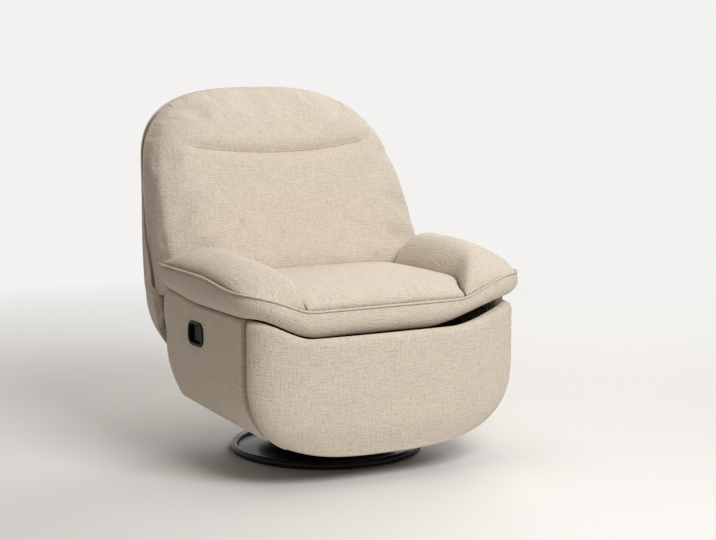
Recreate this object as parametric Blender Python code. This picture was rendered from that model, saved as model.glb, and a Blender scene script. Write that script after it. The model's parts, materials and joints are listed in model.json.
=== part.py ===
"""Swivel rocker recliner: an upholstered chair on a round swivel base, with a fold-out footrest.

Metres, +Z up. The sitter faces -Y and the release handle is on the -X side. Every shape below is
written from the swivel axis at floor level, and one empty then centres the chair on the origin.
"""

import math

import bmesh
import bpy
from mathutils import Vector
from mathutils.geometry import convex_hull_2d
from mathutils.geometry import tessellate_polygon

# Fits
GAP = 0.0003
PIN_CLEARANCE = 0.0003
CENTRE_OFFSET = 0.0395

# Base ring, plate and swivel bearing
RING_RADIUS = 0.265
RING_TUBE = 0.012
RING_SIDES = 10
BASE_PLATE_WALL = 0.003
BASE_PLATE_RIM_Z = 0.011
BASE_PLATE_TOP_Z = 0.030
BASE_HUB_RADIUS = 0.13
RACE_INNER = 0.068
RACE_OUTER = 0.100
RACE_HEIGHT = 0.010
CAGE_MARGIN = 0.008
CAGE_HEIGHT = 0.005
KINGPIN_RADIUS = 0.010
KINGPIN_FLANGE = 0.024
KINGPIN_FLANGE_HEIGHT = 0.004
NUT_RADIUS = 0.018
NUT_HEIGHT = 0.008
TURN_STEPS = 48

# Rocker
SWIVEL_PLATE_WIDTH = 0.34
SWIVEL_PLATE_DEPTH = 0.30
SWIVEL_PLATE_WALL = 0.004
SWIVEL_PLATE_CORNER = 0.03
RAIL_X = 0.14
RAIL_WIDTH = 0.040
RAIL_LENGTH = 0.28
RAIL_HEIGHT = 0.040
SHOE_WIDTH = 0.030
SHOE_LENGTH = 0.26
SHOE_HEIGHT = 0.034
SHOE_NOSE = 0.005
SHOE_FLANK_DEG = 10.0
CROSS_Y = 0.105
CROSS_WIDTH = 0.030
CROSS_HEIGHT = 0.025
SPRING_X = 0.075
SPRING_RADIUS = 0.016
SPRING_WIRE = 0.0025
SPRING_TURNS = 4
SPRING_POINTS = 10

# Mechanism side plates and seat frame
SIDE_PLATE_X = 0.262
STEEL = 0.003
SEAT_BOTTOM_Z = 0.420
SEAT_RAIL_HEIGHT = 0.024
SEAT_RAIL_WIDTH = 0.030
SEAT_RAIL_FRONT_Y = -0.270
SEAT_RAIL_REAR_Y = 0.060
SEAT_WIRE = 0.002
SEAT_WIRE_ROWS = 6
SEAT_WIRE_SPAN = 0.46
SEAT_WIRE_DROP = 0.010
SIDE_PLATE_REAR_Y = 0.12
SIDE_PLATE_BOTTOM_Z = 0.10

# Upholstered tub: side panels and footrest panel share one outline
TUB_HALF_WIDTH = 0.413
TUB_SHOULDER_Z = 0.30
TUB_BOTTOM_Z = 0.066
TUB_ROUNDNESS = 2.4
SIDE_THICKNESS = 0.030
SIDE_FRONT_Y = -0.297
SIDE_FRONT_FOOT = 0.033
SIDE_FRONT_FOOT_LOW_Z = 0.125
SIDE_FRONT_FOOT_HIGH_Z = 0.290
SIDE_REAR_Y = 0.200
SIDE_REAR_FOOT_Y = 0.145
SIDE_FOOT_REAR_Z = 0.172
SIDE_FOOT_SLOPE = 0.09
SIDE_CORNER = 0.035
BOARD_THICKNESS = 0.019
BOARD_BOTTOM_Z = 0.335
BOARD_FRONT_Y = -0.27
BOARD_REAR_SETBACK = 0.035

# Seat and arms
BAND_FRONT_Z = 0.420
BAND_SIDE_RISE = 0.042
BAND_REAR_RISE = 0.012
BAND_INSET = 0.010
BAND_GAP = 0.008
WELT_REAR_Z = 0.539
WELT_FRONT_DROP = 0.043
WELT_REAR_Y = 0.19
SEAT_FRONT_Y = -0.400
SEAT_REAR_Y = 0.090
SEAT_HALF_WIDTH = 0.268
SEAT_CROWN_Z = 0.543
SEAT_CROWN_Y = -0.15
ARM_GAP = 0.003
ARM_OVERHANG = 0.027
ARM_CORNER_Y = -0.255
ARM_REAR_Y = 0.087
ARM_REAR_SLANT = 0.50
ARM_CROWN_Z = 0.606
ARM_CROWN_Y = -0.17
ARM_CROWN_REAR_DROP = 0.036
ARM_CROWN_FRONT_DROP = 0.060

# Back
BACK_OVERHANG = 0.003
BACK_TAPER = 0.17
BACK_TOP_Z = 1.020
BACK_SHOULDER_Z = 0.80
BACK_CUSHION_BOTTOM_Z = 0.440
BACK_CUSHION_FOOT = 0.10
BACK_CUSHION_FOOT_DEPTH = 0.030
BACK_TAIL_Z = 0.235
BACK_TAIL_NARROWING = 0.075
BACK_REAR_Y = 0.287
BACK_LEAN = 0.45
BACK_BEND_Z = 0.50
BACK_BEND_SOFTNESS = 0.12
BACK_SHELL_DEPTH = 0.045
BACK_FRONT_DEPTH = 0.180
BACK_FRONT_ROUNDNESS = 3.6
BACK_REAR_ROUNDNESS = 3.6
BACK_FRONT_THINNING = 0.150
BACK_BOARD_WALL = 0.008
BACK_BOARD_INSET = 0.016
BACK_BOARD_RISE = 0.140
BACK_BOARD_TOP_INSET = 0.050
BACK_BRACKET_DROP = 0.020
BACK_BRACKET_WIDTH = 0.020
CREASE_Z = 0.848
CREASE_RISE = 0.030
CREASE_HALF_WIDTH = 0.27
CREASE_DEPTH = 0.010
CREASE_WIDTH = 0.012
BACK_LEVELS = (0, 0.02, 0.08, 0.15, 0.21, 0.26, 0.31, 0.35, 0.40, 0.45, 0.51, 0.59, 0.67, 0.74)
BACK_TOP_LEVELS = (0.83, 0.88, 0.92, 0.955, 0.98, 0.994)
RECLINE_Y = 0.235
RECLINE_Z = 0.400
RECLINE_EYE = 0.014
RECLINE_PIN = 0.006

# Footrest panel
PAD_FRONT_DEPTH = 0.125
PAD_WALL = 0.044
PAD_EAR_WALL = 0.032
PAD_BOTTOM_TUCK = 0.022
PAD_TOP_TUCK = 0.012
PAD_ROUNDNESS = 3.4
PAD_EAR_DROP = 0.010
PAD_BOARD_WALL = 0.010
PAD_BOARD_HALF_WIDTH = 0.26
PAD_BOARD_TOP_Z = 0.36
PAD_BOARD_BOTTOM_Z = 0.19

# Footrest linkage, in the YZ plane: pivots on the side plate, bar lengths and angles when folded
REAR_PIVOT_Y = -0.287
REAR_PIVOT_Z = 0.163
REAR_BAR = 0.225
FRONT_BAR = 0.253
REAR_BAR_DEG = 100.0
FRONT_BAR_DEG = 268.0
REAR_BAR_SWING_DEG = 70.0
FRONT_BAR_SWING_DEG = -128.0
PANEL_SWING_DEG = -90.0
CONTROL_ON_FRONT_BAR = 0.0283
CONTROL_PIVOT_Y = -0.3044
GUIDE_ON_REAR_BAR = -0.0126
GUIDE_ASIDE = -0.0283
GUIDE_BRACKET_RISE = 0.0356
LINK_EYE = 0.011
LINK_PIN = 0.005
LINK_PITCH = 0.0042
TORQUE_TUBE = 0.009

# Release handle on the side panel
HANDLE_Y = -0.015
HANDLE_Z = 0.371
BEZEL_LENGTH = 0.096
BEZEL_HEIGHT = 0.068
BEZEL_CORNER = 0.024
BEZEL_FLANGE = 0.006
BEZEL_PROUD = 0.004
BEZEL_WALL = 0.0025
BEZEL_DEPTH = 0.026
BEZEL_CLEARANCE = 0.001
LEVER_LENGTH = 0.046
LEVER_BLADE = 0.005
LEVER_BARREL = 0.006
LEVER_PIN = 0.0025
LEVER_MARGIN = 0.005
LEVER_SET_IN = 0.019
CABLE_RADIUS = 0.003
CABLE_STRAIGHT = 0.012
CABLE_LATCH_Y = 0.05
CABLE_LATCH_Z = 0.02

SIDES = (("left", -1), ("right", 1))


def material(name, color, roughness, metallic):
    made = bpy.data.materials.new(name)
    made.use_nodes = True
    shader = made.node_tree.nodes["Principled BSDF"]
    shader.inputs["Base Color"].default_value = (*color, 1.0)
    shader.inputs["Roughness"].default_value = roughness
    shader.inputs["Metallic"].default_value = metallic
    return made


def axis_empty(name, place, parent=None):
    """An empty at a place given from the swivel axis. Objects that turn about it are its children."""
    empty = bpy.data.objects.new(name, None)
    bpy.context.collection.objects.link(empty)
    empty["place"] = tuple(place)
    empty.parent = parent
    empty.location = Vector(place) - Vector(parent["place"]) if parent else Vector(place)
    return empty


def add_mesh(name, bm, finish, axis, smooth=True):
    """Turns a bmesh built from the swivel axis into an object whose origin lies on its axis empty."""
    bmesh.ops.recalc_face_normals(bm, faces=bm.faces)
    bmesh.ops.translate(bm, verts=bm.verts, vec=-Vector(axis["place"]))
    mesh = bpy.data.meshes.new(name)
    bm.to_mesh(mesh)
    bm.free()
    if smooth:
        mesh.shade_smooth()
        mesh.set_sharp_from_angle(angle=math.radians(35))
    mesh.materials.append(finish)
    obj = bpy.data.objects.new(name, mesh)
    bpy.context.collection.objects.link(obj)
    obj.parent = axis
    return obj


def superellipse(share, power):
    """Height of a unit superellipse at a share of its half width."""
    return (1 - min(abs(share), 1) ** power) ** (1 / power)


def smooth_step(value, low, high):
    share = min(max((value - low) / (high - low), 0), 1)
    return share * share * (3 - 2 * share)


def circle(centre, radius, count=14):
    turn = 2 * math.pi / count
    return [
        (centre[0] + radius * math.cos(turn * k), centre[1] + radius * math.sin(turn * k))
        for k in range(count)
    ]


def rounded_rectangle(centre, width, height, corner, steps=4):
    points = []
    for quarter, (sx, sy) in enumerate(((1, 1), (-1, 1), (-1, -1), (1, -1))):
        for k in range(steps + 1):
            angle = math.pi / 2 * (quarter + k / steps)
            points.append((
                centre[0] + sx * (width / 2 - corner) + corner * math.cos(angle),
                centre[1] + sy * (height / 2 - corner) + corner * math.sin(angle),
            ))
    return points


def hull(*loops):
    points = [point for loop in loops for point in loop]
    return [points[k] for k in convex_hull_2d(points)]


def prism(outline, low, high, axis="X", holes=(), studs=()):
    """A flat plate across an axis, with through holes and with studs (loop, reach) on either face."""
    place = {
        "X": lambda u, v, w: Vector((w, u, v)),
        "Y": lambda u, v, w: Vector((u, w, v)),
        "Z": lambda u, v, w: Vector((u, v, w)),
    }[axis]
    bm = bmesh.new()

    def ring(loop, level):
        return [bm.verts.new(place(u, v, level)) for u, v in loop]

    def wall(first, second):
        for k in range(len(first)):
            after = (k + 1) % len(first)
            bm.faces.new((first[k], first[after], second[after], second[k]))

    caps = {low: [], high: []}
    for loop in (outline, *holes):
        rings = {level: ring(loop, level) for level in (low, high)}
        wall(rings[low], rings[high])
        for level in (low, high):
            caps[level].append(rings[level])
    for loop, reach in studs:
        level = high if reach > high else low
        foot = ring(loop, level)
        tip = ring(loop, reach)
        wall(foot, tip)
        bm.faces.new(tip)
        caps[level].append(foot)
    for rings in caps.values():
        flat = [vert for loop in rings for vert in loop]
        for triangle in tessellate_polygon([[vert.co for vert in loop] for loop in rings]):
            bm.faces.new([flat[k] for k in triangle])
    return bm


def loft(rings):
    """Closed loops of equal count, joined in order, with a face over the first and the last."""
    bm = bmesh.new()
    loops = [[bm.verts.new(point) for point in ring] for ring in rings]
    for first, second in zip(loops, loops[1:]):
        for k in range(len(first)):
            after = (k + 1) % len(first)
            bm.faces.new((first[k], first[after], second[after], second[k]))
    bm.faces.new(loops[0])
    bm.faces.new(loops[-1])
    return bm


def slab(front, back):
    """Two grids of points with equal counts, sewn round their edge into one closed sheet."""
    bm = bmesh.new()
    sheets = [[[bm.verts.new(point) for point in row] for row in grid] for grid in (front, back)]
    rows = len(front)
    columns = len(front[0])
    for sheet in sheets:
        for i in range(rows - 1):
            for j in range(columns - 1):
                bm.faces.new((sheet[i][j], sheet[i][j + 1], sheet[i + 1][j + 1], sheet[i + 1][j]))
    edge = [(0, j) for j in range(columns)]
    edge += [(i, columns - 1) for i in range(1, rows)]
    edge += [(rows - 1, j) for j in range(columns - 2, -1, -1)]
    edge += [(i, 0) for i in range(rows - 2, 0, -1)]
    for (i, j), (m, n) in zip(edge, edge[1:] + edge[:1]):
        bm.faces.new((sheets[0][i][j], sheets[0][m][n], sheets[1][m][n], sheets[1][i][j]))
    return bm


def turned(profile):
    """A closed profile of (radius, height) spun once about the swivel axis."""
    bm = bmesh.new()
    verts = [bm.verts.new((radius, 0, height)) for radius, height in profile]
    edges = [bm.edges.new((verts[k - 1], verts[k])) for k in range(len(verts))]
    bmesh.ops.spin(
        bm, geom=verts + edges, cent=(0, 0, 0), axis=(0, 0, 1), dvec=(0, 0, 0),
        angle=2 * math.pi, steps=TURN_STEPS, use_merge=True,
    )
    bmesh.ops.remove_doubles(bm, verts=bm.verts, dist=0.00001)
    flat = [face for face in bm.faces if face.calc_area() < 1e-10]
    bmesh.ops.delete(bm, geom=flat, context="FACES")
    loose = [edge for edge in bm.edges if not edge.link_faces]
    bmesh.ops.delete(bm, geom=loose, context="EDGES")
    return bm


def wire(name, points, radius, finish, axis, sides=1):
    """A round wire or tube along a list of points."""
    curve = bpy.data.curves.new(name, "CURVE")
    curve.dimensions = "3D"
    curve.bevel_depth = radius
    curve.bevel_resolution = sides
    curve.use_fill_caps = True
    spline = curve.splines.new("POLY")
    spline.points.add(len(points) - 1)
    for slot, point in zip(spline.points, points):
        slot.co = (*(Vector(point) - Vector(axis["place"])), 1)
    curve.materials.append(finish)
    obj = bpy.data.objects.new(name, curve)
    bpy.context.collection.objects.link(obj)
    obj.parent = axis
    return obj


def across(sign, near, far):
    """The low and high X of a plate that lies between two distances from the centre."""
    return sorted((sign * near, sign * far))


# Heights that follow from the stack of parts
RACE_LOW_Z = BASE_PLATE_TOP_Z + GAP
CAGE_Z = RACE_LOW_Z + RACE_HEIGHT + GAP
RACE_HIGH_Z = CAGE_Z + CAGE_HEIGHT + GAP
SWIVEL_PLATE_Z = RACE_HIGH_Z + RACE_HEIGHT + GAP
SWIVEL_TOP_Z = SWIVEL_PLATE_Z + SWIVEL_PLATE_WALL
RAIL_Z = SWIVEL_TOP_Z + GAP
ROCK_Z = RAIL_Z + RAIL_HEIGHT
SHOE_Z = ROCK_Z + GAP
CROSS_Z = SHOE_Z + SHOE_HEIGHT + GAP
SEAT_RAIL_Z = SEAT_BOTTOM_Z - GAP - SEAT_RAIL_HEIGHT
SIDE_PLATE_TOP_Z = SEAT_RAIL_Z - GAP
PANEL_INNER_X = TUB_HALF_WIDTH - SIDE_THICKNESS
BOARD_X = PANEL_INNER_X - GAP - BOARD_THICKNESS
ARM_INNER_X = SEAT_HALF_WIDTH + ARM_GAP
ARM_HALF_WIDTH = TUB_HALF_WIDTH + ARM_OVERHANG
BACK_HALF_WIDTH = TUB_HALF_WIDTH + BACK_OVERHANG


def tub_half_width(z):
    drop = max(0, TUB_SHOULDER_Z - z) / (TUB_SHOULDER_Z - TUB_BOTTOM_Z)
    return TUB_HALF_WIDTH * superellipse(drop, TUB_ROUNDNESS)


def band_bottom(x, y):
    """Lower edge of the border that runs round the seat and both arms."""
    side = smooth_step(abs(x), SEAT_HALF_WIDTH, ARM_HALF_WIDTH - 0.03)
    rear = smooth_step(y, SIDE_FRONT_Y, SIDE_REAR_Y)
    return BAND_FRONT_Z + BAND_SIDE_RISE * side + BAND_REAR_RISE * side * rear


def welt_height(y):
    """Seam between the border and the tops of the seat and the arms."""
    forward = max(0, WELT_REAR_Y - y) / (WELT_REAR_Y - SEAT_FRONT_Y)
    return WELT_REAR_Z - WELT_FRONT_DROP * forward ** 2.2


def back_lean(z):
    """How far the back has moved rearwards at a height: upright below its bend, leaning above."""
    above = z - BACK_BEND_Z
    return BACK_LEAN * (math.hypot(above, BACK_BEND_SOFTNESS) + above) / 2


def back_seam_y(z):
    return BACK_REAR_Y + back_lean(z) - BACK_SHELL_DEPTH


def back_half_width(z):
    above = max(0, z - BACK_BEND_Z) / (BACK_TOP_Z - BACK_BEND_Z)
    below = max(0, BACK_CUSHION_BOTTOM_Z - z) / (BACK_CUSHION_BOTTOM_Z - BACK_TAIL_Z)
    round_top = superellipse(max(0, z - BACK_SHOULDER_Z) / (BACK_TOP_Z - BACK_SHOULDER_Z), 3)
    straight = BACK_HALF_WIDTH * (1 - BACK_TAPER * above ** 2) - BACK_TAIL_NARROWING * below ** 2
    return straight * round_top


def build_base(black, steel, base):
    half_turn = math.pi / RING_SIDES
    ring_z = RING_TUBE * math.cos(half_turn)
    section = []
    for k in range(RING_SIDES):
        angle = half_turn * (2 * k + 1) - math.pi / 2
        section.append((RING_RADIUS + RING_TUBE * math.cos(angle), ring_z + RING_TUBE * math.sin(angle)))
    add_mesh("base_ring", turned(section), black, base)
    rim = min(radius for radius, _ in section) - GAP
    rim_z = BASE_PLATE_RIM_Z
    profile = [
        (0, BASE_PLATE_TOP_Z),
        (BASE_HUB_RADIUS, BASE_PLATE_TOP_Z),
        (rim - 0.015, rim_z + 0.002),
        (rim, rim_z),
        (rim, rim_z - BASE_PLATE_WALL),
        (rim - 0.015, rim_z + 0.002 - BASE_PLATE_WALL),
        (BASE_HUB_RADIUS, BASE_PLATE_TOP_Z - BASE_PLATE_WALL),
        (0, BASE_PLATE_TOP_Z - BASE_PLATE_WALL),
    ]
    add_mesh("base_plate", turned(profile), black, base)
    race = box_profile(RACE_INNER, RACE_OUTER, RACE_LOW_Z, RACE_HEIGHT)
    add_mesh("lower_race", turned(race), steel, base)
    cage = box_profile(RACE_INNER + CAGE_MARGIN, RACE_OUTER - CAGE_MARGIN, CAGE_Z, CAGE_HEIGHT)
    add_mesh("bearing_cage", turned(cage), steel, base)
    nut_z = SWIVEL_TOP_Z + GAP
    pin_top = nut_z + NUT_HEIGHT
    flange_top = RACE_LOW_Z + KINGPIN_FLANGE_HEIGHT
    pin = [
        (0, RACE_LOW_Z), (KINGPIN_FLANGE, RACE_LOW_Z), (KINGPIN_FLANGE, flange_top),
        (KINGPIN_RADIUS, flange_top), (KINGPIN_RADIUS, pin_top), (0, pin_top),
    ]
    add_mesh("kingpin", turned(pin), steel, base)
    nut = box_profile(KINGPIN_RADIUS + PIN_CLEARANCE, NUT_RADIUS, nut_z, NUT_HEIGHT)
    add_mesh("kingpin_nut", turned(nut), steel, base)


def box_profile(inner, outer, low, height):
    return [(inner, low), (outer, low), (outer, low + height), (inner, low + height)]


def build_rocker(black, steel, wood, swivel, rock):
    race = box_profile(RACE_INNER, RACE_OUTER, RACE_HIGH_Z, RACE_HEIGHT)
    add_mesh("upper_race", turned(race), steel, swivel)
    outline = rounded_rectangle((0, 0), SWIVEL_PLATE_WIDTH, SWIVEL_PLATE_DEPTH, SWIVEL_PLATE_CORNER)
    bore = circle((0, 0), KINGPIN_RADIUS + PIN_CLEARANCE, TURN_STEPS)
    plate = prism(outline, SWIVEL_PLATE_Z, SWIVEL_TOP_Z, "Z", holes=[bore])
    add_mesh("swivel_plate", plate, black, swivel)
    rail_half = RAIL_LENGTH / 2
    rail = [(-rail_half, RAIL_Z), (rail_half, RAIL_Z), (rail_half, ROCK_Z), (-rail_half, ROCK_Z)]
    flank = math.tan(math.radians(SHOE_FLANK_DEG))
    shoe_top = SHOE_Z + SHOE_HEIGHT
    shoe = [(SHOE_LENGTH / 2, shoe_top), (-SHOE_LENGTH / 2, shoe_top)]
    steps = 12
    for k in range(steps + 1):
        y = SHOE_LENGTH * (k / steps - 0.5)
        shoe.append((y, SHOE_Z + flank * (math.hypot(y, SHOE_NOSE) - SHOE_NOSE)))
    for name, sign in SIDES:
        low, high = across(sign, RAIL_X - RAIL_WIDTH / 2, RAIL_X + RAIL_WIDTH / 2)
        add_mesh(f"rocker_rail_{name}", prism(rail, low, high), black, swivel)
        low, high = across(sign, RAIL_X - SHOE_WIDTH / 2, RAIL_X + SHOE_WIDTH / 2)
        add_mesh(f"rocker_shoe_{name}", prism(shoe, low, high), wood, rock)
    for place, y in (("front", -CROSS_Y), ("rear", CROSS_Y)):
        section = rounded_rectangle((y, CROSS_Z + CROSS_HEIGHT / 2), CROSS_WIDTH, CROSS_HEIGHT, 0.004, 2)
        reach = SIDE_PLATE_X - GAP
        add_mesh(f"cross_tube_{place}", prism(section, -reach, reach), black, rock)
        for name, sign in SIDES:
            build_rock_spring(f"rock_spring_{place}_{name}", sign * SPRING_X, y, steel, swivel)


def build_rock_spring(name, x, y, steel, swivel):
    """A coil between the swivel plate and a cross tube."""
    low = SWIVEL_TOP_Z + GAP + SPRING_WIRE
    high = CROSS_Z - GAP - SPRING_WIRE
    count = SPRING_TURNS * SPRING_POINTS
    points = []
    for k in range(count + 1):
        angle = 2 * math.pi * k / SPRING_POINTS
        points.append((
            x + SPRING_RADIUS * math.cos(angle),
            y + SPRING_RADIUS * math.sin(angle),
            low + (high - low) * k / count,
        ))
    wire(name, points, SPRING_WIRE, steel, swivel)


def side_plate_outline(control_pivot):
    front = REAR_PIVOT_Y - 2 * LINK_EYE
    foot = control_pivot[1] - 1.5 * LINK_EYE
    return [
        (front, foot),
        (REAR_PIVOT_Y + LINK_EYE, foot),
        (SIDE_PLATE_REAR_Y - 0.04, SIDE_PLATE_BOTTOM_Z + 0.035),
        (SIDE_PLATE_REAR_Y, SIDE_PLATE_BOTTOM_Z + 0.08),
        (SIDE_PLATE_REAR_Y, SIDE_PLATE_TOP_Z),
        (SEAT_RAIL_FRONT_Y - SEAT_RAIL_WIDTH, SIDE_PLATE_TOP_Z),
        (front, SIDE_PLATE_TOP_Z - 0.06),
    ]


def build_frame(black, steel, wood, rock, links):
    pivots = (links["rear_pivot"], links["control_pivot"])
    holes = [circle(pivot, LINK_PIN + PIN_CLEARANCE) for pivot in pivots]
    for name, sign in SIDES:
        low, high = across(sign, SIDE_PLATE_X, SIDE_PLATE_X + STEEL)
        plate = prism(side_plate_outline(links["control_pivot"]), low, high, holes=holes)
        add_mesh(f"side_plate_{name}", plate, black, rock)
        low, high = across(sign, BOARD_X, BOARD_X + BOARD_THICKNESS)
        top_front = band_bottom(BOARD_X, BOARD_FRONT_Y) - GAP
        board = [
            (BOARD_FRONT_Y, BOARD_BOTTOM_Z),
            (RECLINE_Y - BOARD_REAR_SETBACK, BOARD_BOTTOM_Z),
            (RECLINE_Y, RECLINE_Z - RECLINE_EYE),
            (RECLINE_Y + RECLINE_EYE * 0.7, RECLINE_Z - RECLINE_EYE * 0.7),
            (RECLINE_Y + RECLINE_EYE, RECLINE_Z),
            (RECLINE_Y + RECLINE_EYE * 0.7, RECLINE_Z + RECLINE_EYE * 0.7),
            (RECLINE_Y - RECLINE_EYE, BACK_CUSHION_BOTTOM_Z - 0.015),
            (ARM_REAR_Y, top_front),
            (BOARD_FRONT_Y, top_front),
        ]
        bores = [circle((RECLINE_Y, RECLINE_Z), RECLINE_PIN + PIN_CLEARANCE)]
        if name == "left":
            bores.append(circle((HANDLE_Y, HANDLE_Z), 2 * CABLE_RADIUS))
        add_mesh(f"side_board_{name}", prism(board, low, high, holes=bores), wood, rock)
    reach = BOARD_X - GAP
    for place, y in (("front", SEAT_RAIL_FRONT_Y), ("rear", SEAT_RAIL_REAR_Y)):
        centre = (y, SEAT_RAIL_Z + SEAT_RAIL_HEIGHT / 2)
        section = rounded_rectangle(centre, SEAT_RAIL_WIDTH, SEAT_RAIL_HEIGHT, 0.003, 2)
        add_mesh(f"seat_rail_{place}", prism(section, -reach, reach), wood, rock)
    build_seat_wires(steel, rock)


def build_seat_wires(steel, rock):
    """One zigzag wire that spans from the front rail to the rear rail under the cushion."""
    front = SEAT_RAIL_FRONT_Y + SEAT_RAIL_WIDTH / 2 + SEAT_WIRE + GAP
    rear = SEAT_RAIL_REAR_Y - SEAT_RAIL_WIDTH / 2 - SEAT_WIRE - GAP
    level = SEAT_BOTTOM_Z - SEAT_WIRE_DROP
    bend = 0.018
    points = []
    for row in range(SEAT_WIRE_ROWS):
        x = SEAT_WIRE_SPAN * (row / (SEAT_WIRE_ROWS - 1) - 0.5)
        ends = (front, rear) if row % 2 == 0 else (rear, front)
        turn = bend if ends[0] < ends[1] else -bend
        points.append((x - bend * (row > 0), ends[0], level))
        points.append((x, ends[0] + turn, level))
        points.append((x, ends[1] - turn, level))
        points.append((x + bend * (row < SEAT_WIRE_ROWS - 1), ends[1], level))
    wire("seat_springs", points, SEAT_WIRE, steel, rock)


def build_seat_cushion(fabric, rock):
    """Crowned cushion with a border below its front seam, lofted from the rear to the front."""
    rings = []
    for share in (0, 0.06, 0.2, 0.4, 0.6, 0.75, 0.87, 0.94, 0.98, 1):
        y = SEAT_REAR_Y + (SEAT_FRONT_Y - SEAT_REAR_Y) * share
        welt = welt_height(SEAT_FRONT_Y) + 0.004 * (1 - share)
        ahead = max(0, SEAT_CROWN_Y - y) / (SEAT_CROWN_Y - SEAT_FRONT_Y)
        behind = max(0, y - SEAT_CROWN_Y) / (SEAT_REAR_Y - SEAT_CROWN_Y)
        crown = (SEAT_CROWN_Z - welt) * (superellipse(ahead, 2.4) - 0.35 * behind ** 2)
        half = SEAT_HALF_WIDTH - 0.006 * (share < 0.01)
        ring = []
        for k in range(13):
            x = half * math.sin(math.pi / 2 * (k / 6 - 1))
            ring.append((x, y, welt + crown * superellipse(x / half, 2.6)))
        drawn = BAND_INSET * smooth_step(share, 0.9, 1)
        ring.append((half, y, (welt + BAND_FRONT_Z) / 2))
        ring.append((half, y + drawn, BAND_FRONT_Z))
        ring.append((-half, y + drawn, BAND_FRONT_Z))
        ring.append((-half, y, (welt + BAND_FRONT_Z) / 2))
        rings.append(ring)
    add_mesh("seat_cushion", loft(rings), fabric, rock)


def build_arm_pad(name, sign, fabric, rock):
    """Pillow arm: a border at its foot, a seam, and a domed top that turns in to meet the seat."""
    rings = []
    full = ARM_HALF_WIDTH - ARM_INNER_X
    reach = ARM_CORNER_Y - SEAT_FRONT_Y
    shares = (0, 0.1, 0.3, 0.55, 0.8, 1)
    stations = [(ARM_REAR_Y + (ARM_CORNER_Y - ARM_REAR_Y) * share, 1 - share) for share in shares]
    for turn in (25, 45, 60, 72, 80):
        stations.append((ARM_CORNER_Y - reach * math.sin(math.radians(turn)), 0))
    for y, slanted in stations:
        width = full * superellipse((ARM_CORNER_Y - y) / reach if y < ARM_CORNER_Y else 0, 2)
        welt = welt_height(y)
        ahead = max(0, ARM_CROWN_Y - y) / (ARM_CROWN_Y - SEAT_FRONT_Y)
        behind = max(0, y - ARM_CROWN_Y) / (ARM_REAR_Y - ARM_CROWN_Y)
        crown = ARM_CROWN_Z - ARM_CROWN_REAR_DROP * behind ** 2 - ARM_CROWN_FRONT_DROP * ahead ** 2.5
        inner_z = welt_height(SEAT_FRONT_Y)
        ring = []
        for k in range(11):
            share = math.sin(math.pi / 2 * (k / 5 - 1)) / 2 + 0.5
            base = inner_z + (welt - inner_z) * share
            height = base + (crown - base) * superellipse(2 * share - 1, 2.3)
            ring.append((share, height))
        ring += [(share, None) for share in (1.0, 0.95, 0.8, 0.6, 0.4, 0.2, 0.0)]
        placed = []
        for index, (share, height) in enumerate(ring):
            x = ARM_INNER_X + width * share
            back = ARM_REAR_SLANT * (x - ARM_INNER_X) * slanted
            if height is None:
                low = band_bottom(x, y)
                height = (welt + low) / 2 if index == 11 else low
            placed.append((sign * x, y + back, height))
        rings.append(placed)
    add_mesh(name, loft(rings), fabric, rock)


def side_front_y(z):
    """Front edge of the side panels, which runs forward towards the foot, clear of the links."""
    low = 1 - smooth_step(z, SIDE_FRONT_FOOT_LOW_Z, SIDE_FRONT_FOOT_HIGH_Z)
    return SIDE_FRONT_Y - SIDE_FRONT_FOOT * low


def build_side_panel(name, sign, fabric, rock):
    """Upholstered side, curved in towards the base, with rounded edges."""
    shares = (0, 0.03, 0.12, 0.3, 0.5, 0.7, 0.88, 0.97, 1)
    outer = []
    inner = []
    for up in shares:
        outer_row = []
        inner_row = []
        for along in shares:
            foot_z = SIDE_FOOT_REAR_Z - SIDE_FOOT_SLOPE * (1 - along) * (SIDE_REAR_FOOT_Y - SIDE_FRONT_Y)
            rear_y = SIDE_REAR_Y - (SIDE_REAR_Y - SIDE_REAR_FOOT_Y) * (1 - smooth_step(up, 0, 0.45))
            rear_y -= SIDE_CORNER * smooth_step(up, 0.86, 1) ** 2
            y = SIDE_FRONT_Y + (rear_y - SIDE_FRONT_Y) * along
            rounding = 1 - superellipse(2 * up - 1, 9) * superellipse(2 * along - 1, 14)
            for row, wall in ((outer_row, 0.006 * rounding), (inner_row, SIDE_THICKNESS)):
                top = band_bottom(TUB_HALF_WIDTH - wall, y) - BAND_GAP
                z = foot_z + (top - foot_z) * up
                edge = (side_front_y(z) - SIDE_FRONT_Y) * (1 - along)
                row.append((sign * (tub_half_width(z) - wall), y + edge, z))
        outer.append(outer_row)
        inner.append(inner_row)
    return add_mesh(name, slab(outer, inner), fabric, rock)


def pad_point(share, up, inner):
    """A point on the outside or the inside of the footrest panel, which ends below the border."""
    ear = PAD_EAR_WALL if inner else 0
    bottom = TUB_BOTTOM_Z + 0.004
    top = band_bottom((TUB_HALF_WIDTH - ear) * share, SIDE_FRONT_Y) - BAND_GAP
    top -= PAD_EAR_DROP * smooth_step(abs(share), 0.85, 1)
    z = bottom + (top - bottom) * up
    tuck = PAD_BOTTOM_TUCK * (1 - smooth_step(up, 0, 0.3)) + PAD_TOP_TUCK * smooth_step(up, 0.85, 1)
    rear = side_front_y(z) - 0.005
    depth = PAD_FRONT_DEPTH - tuck - (SIDE_FRONT_Y - side_front_y(z))
    if inner:
        depth = max(depth - PAD_WALL, 0.012)
    return ((tub_half_width(z) - ear) * share, rear - depth * superellipse(share, PAD_ROUNDNESS), z)


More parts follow.
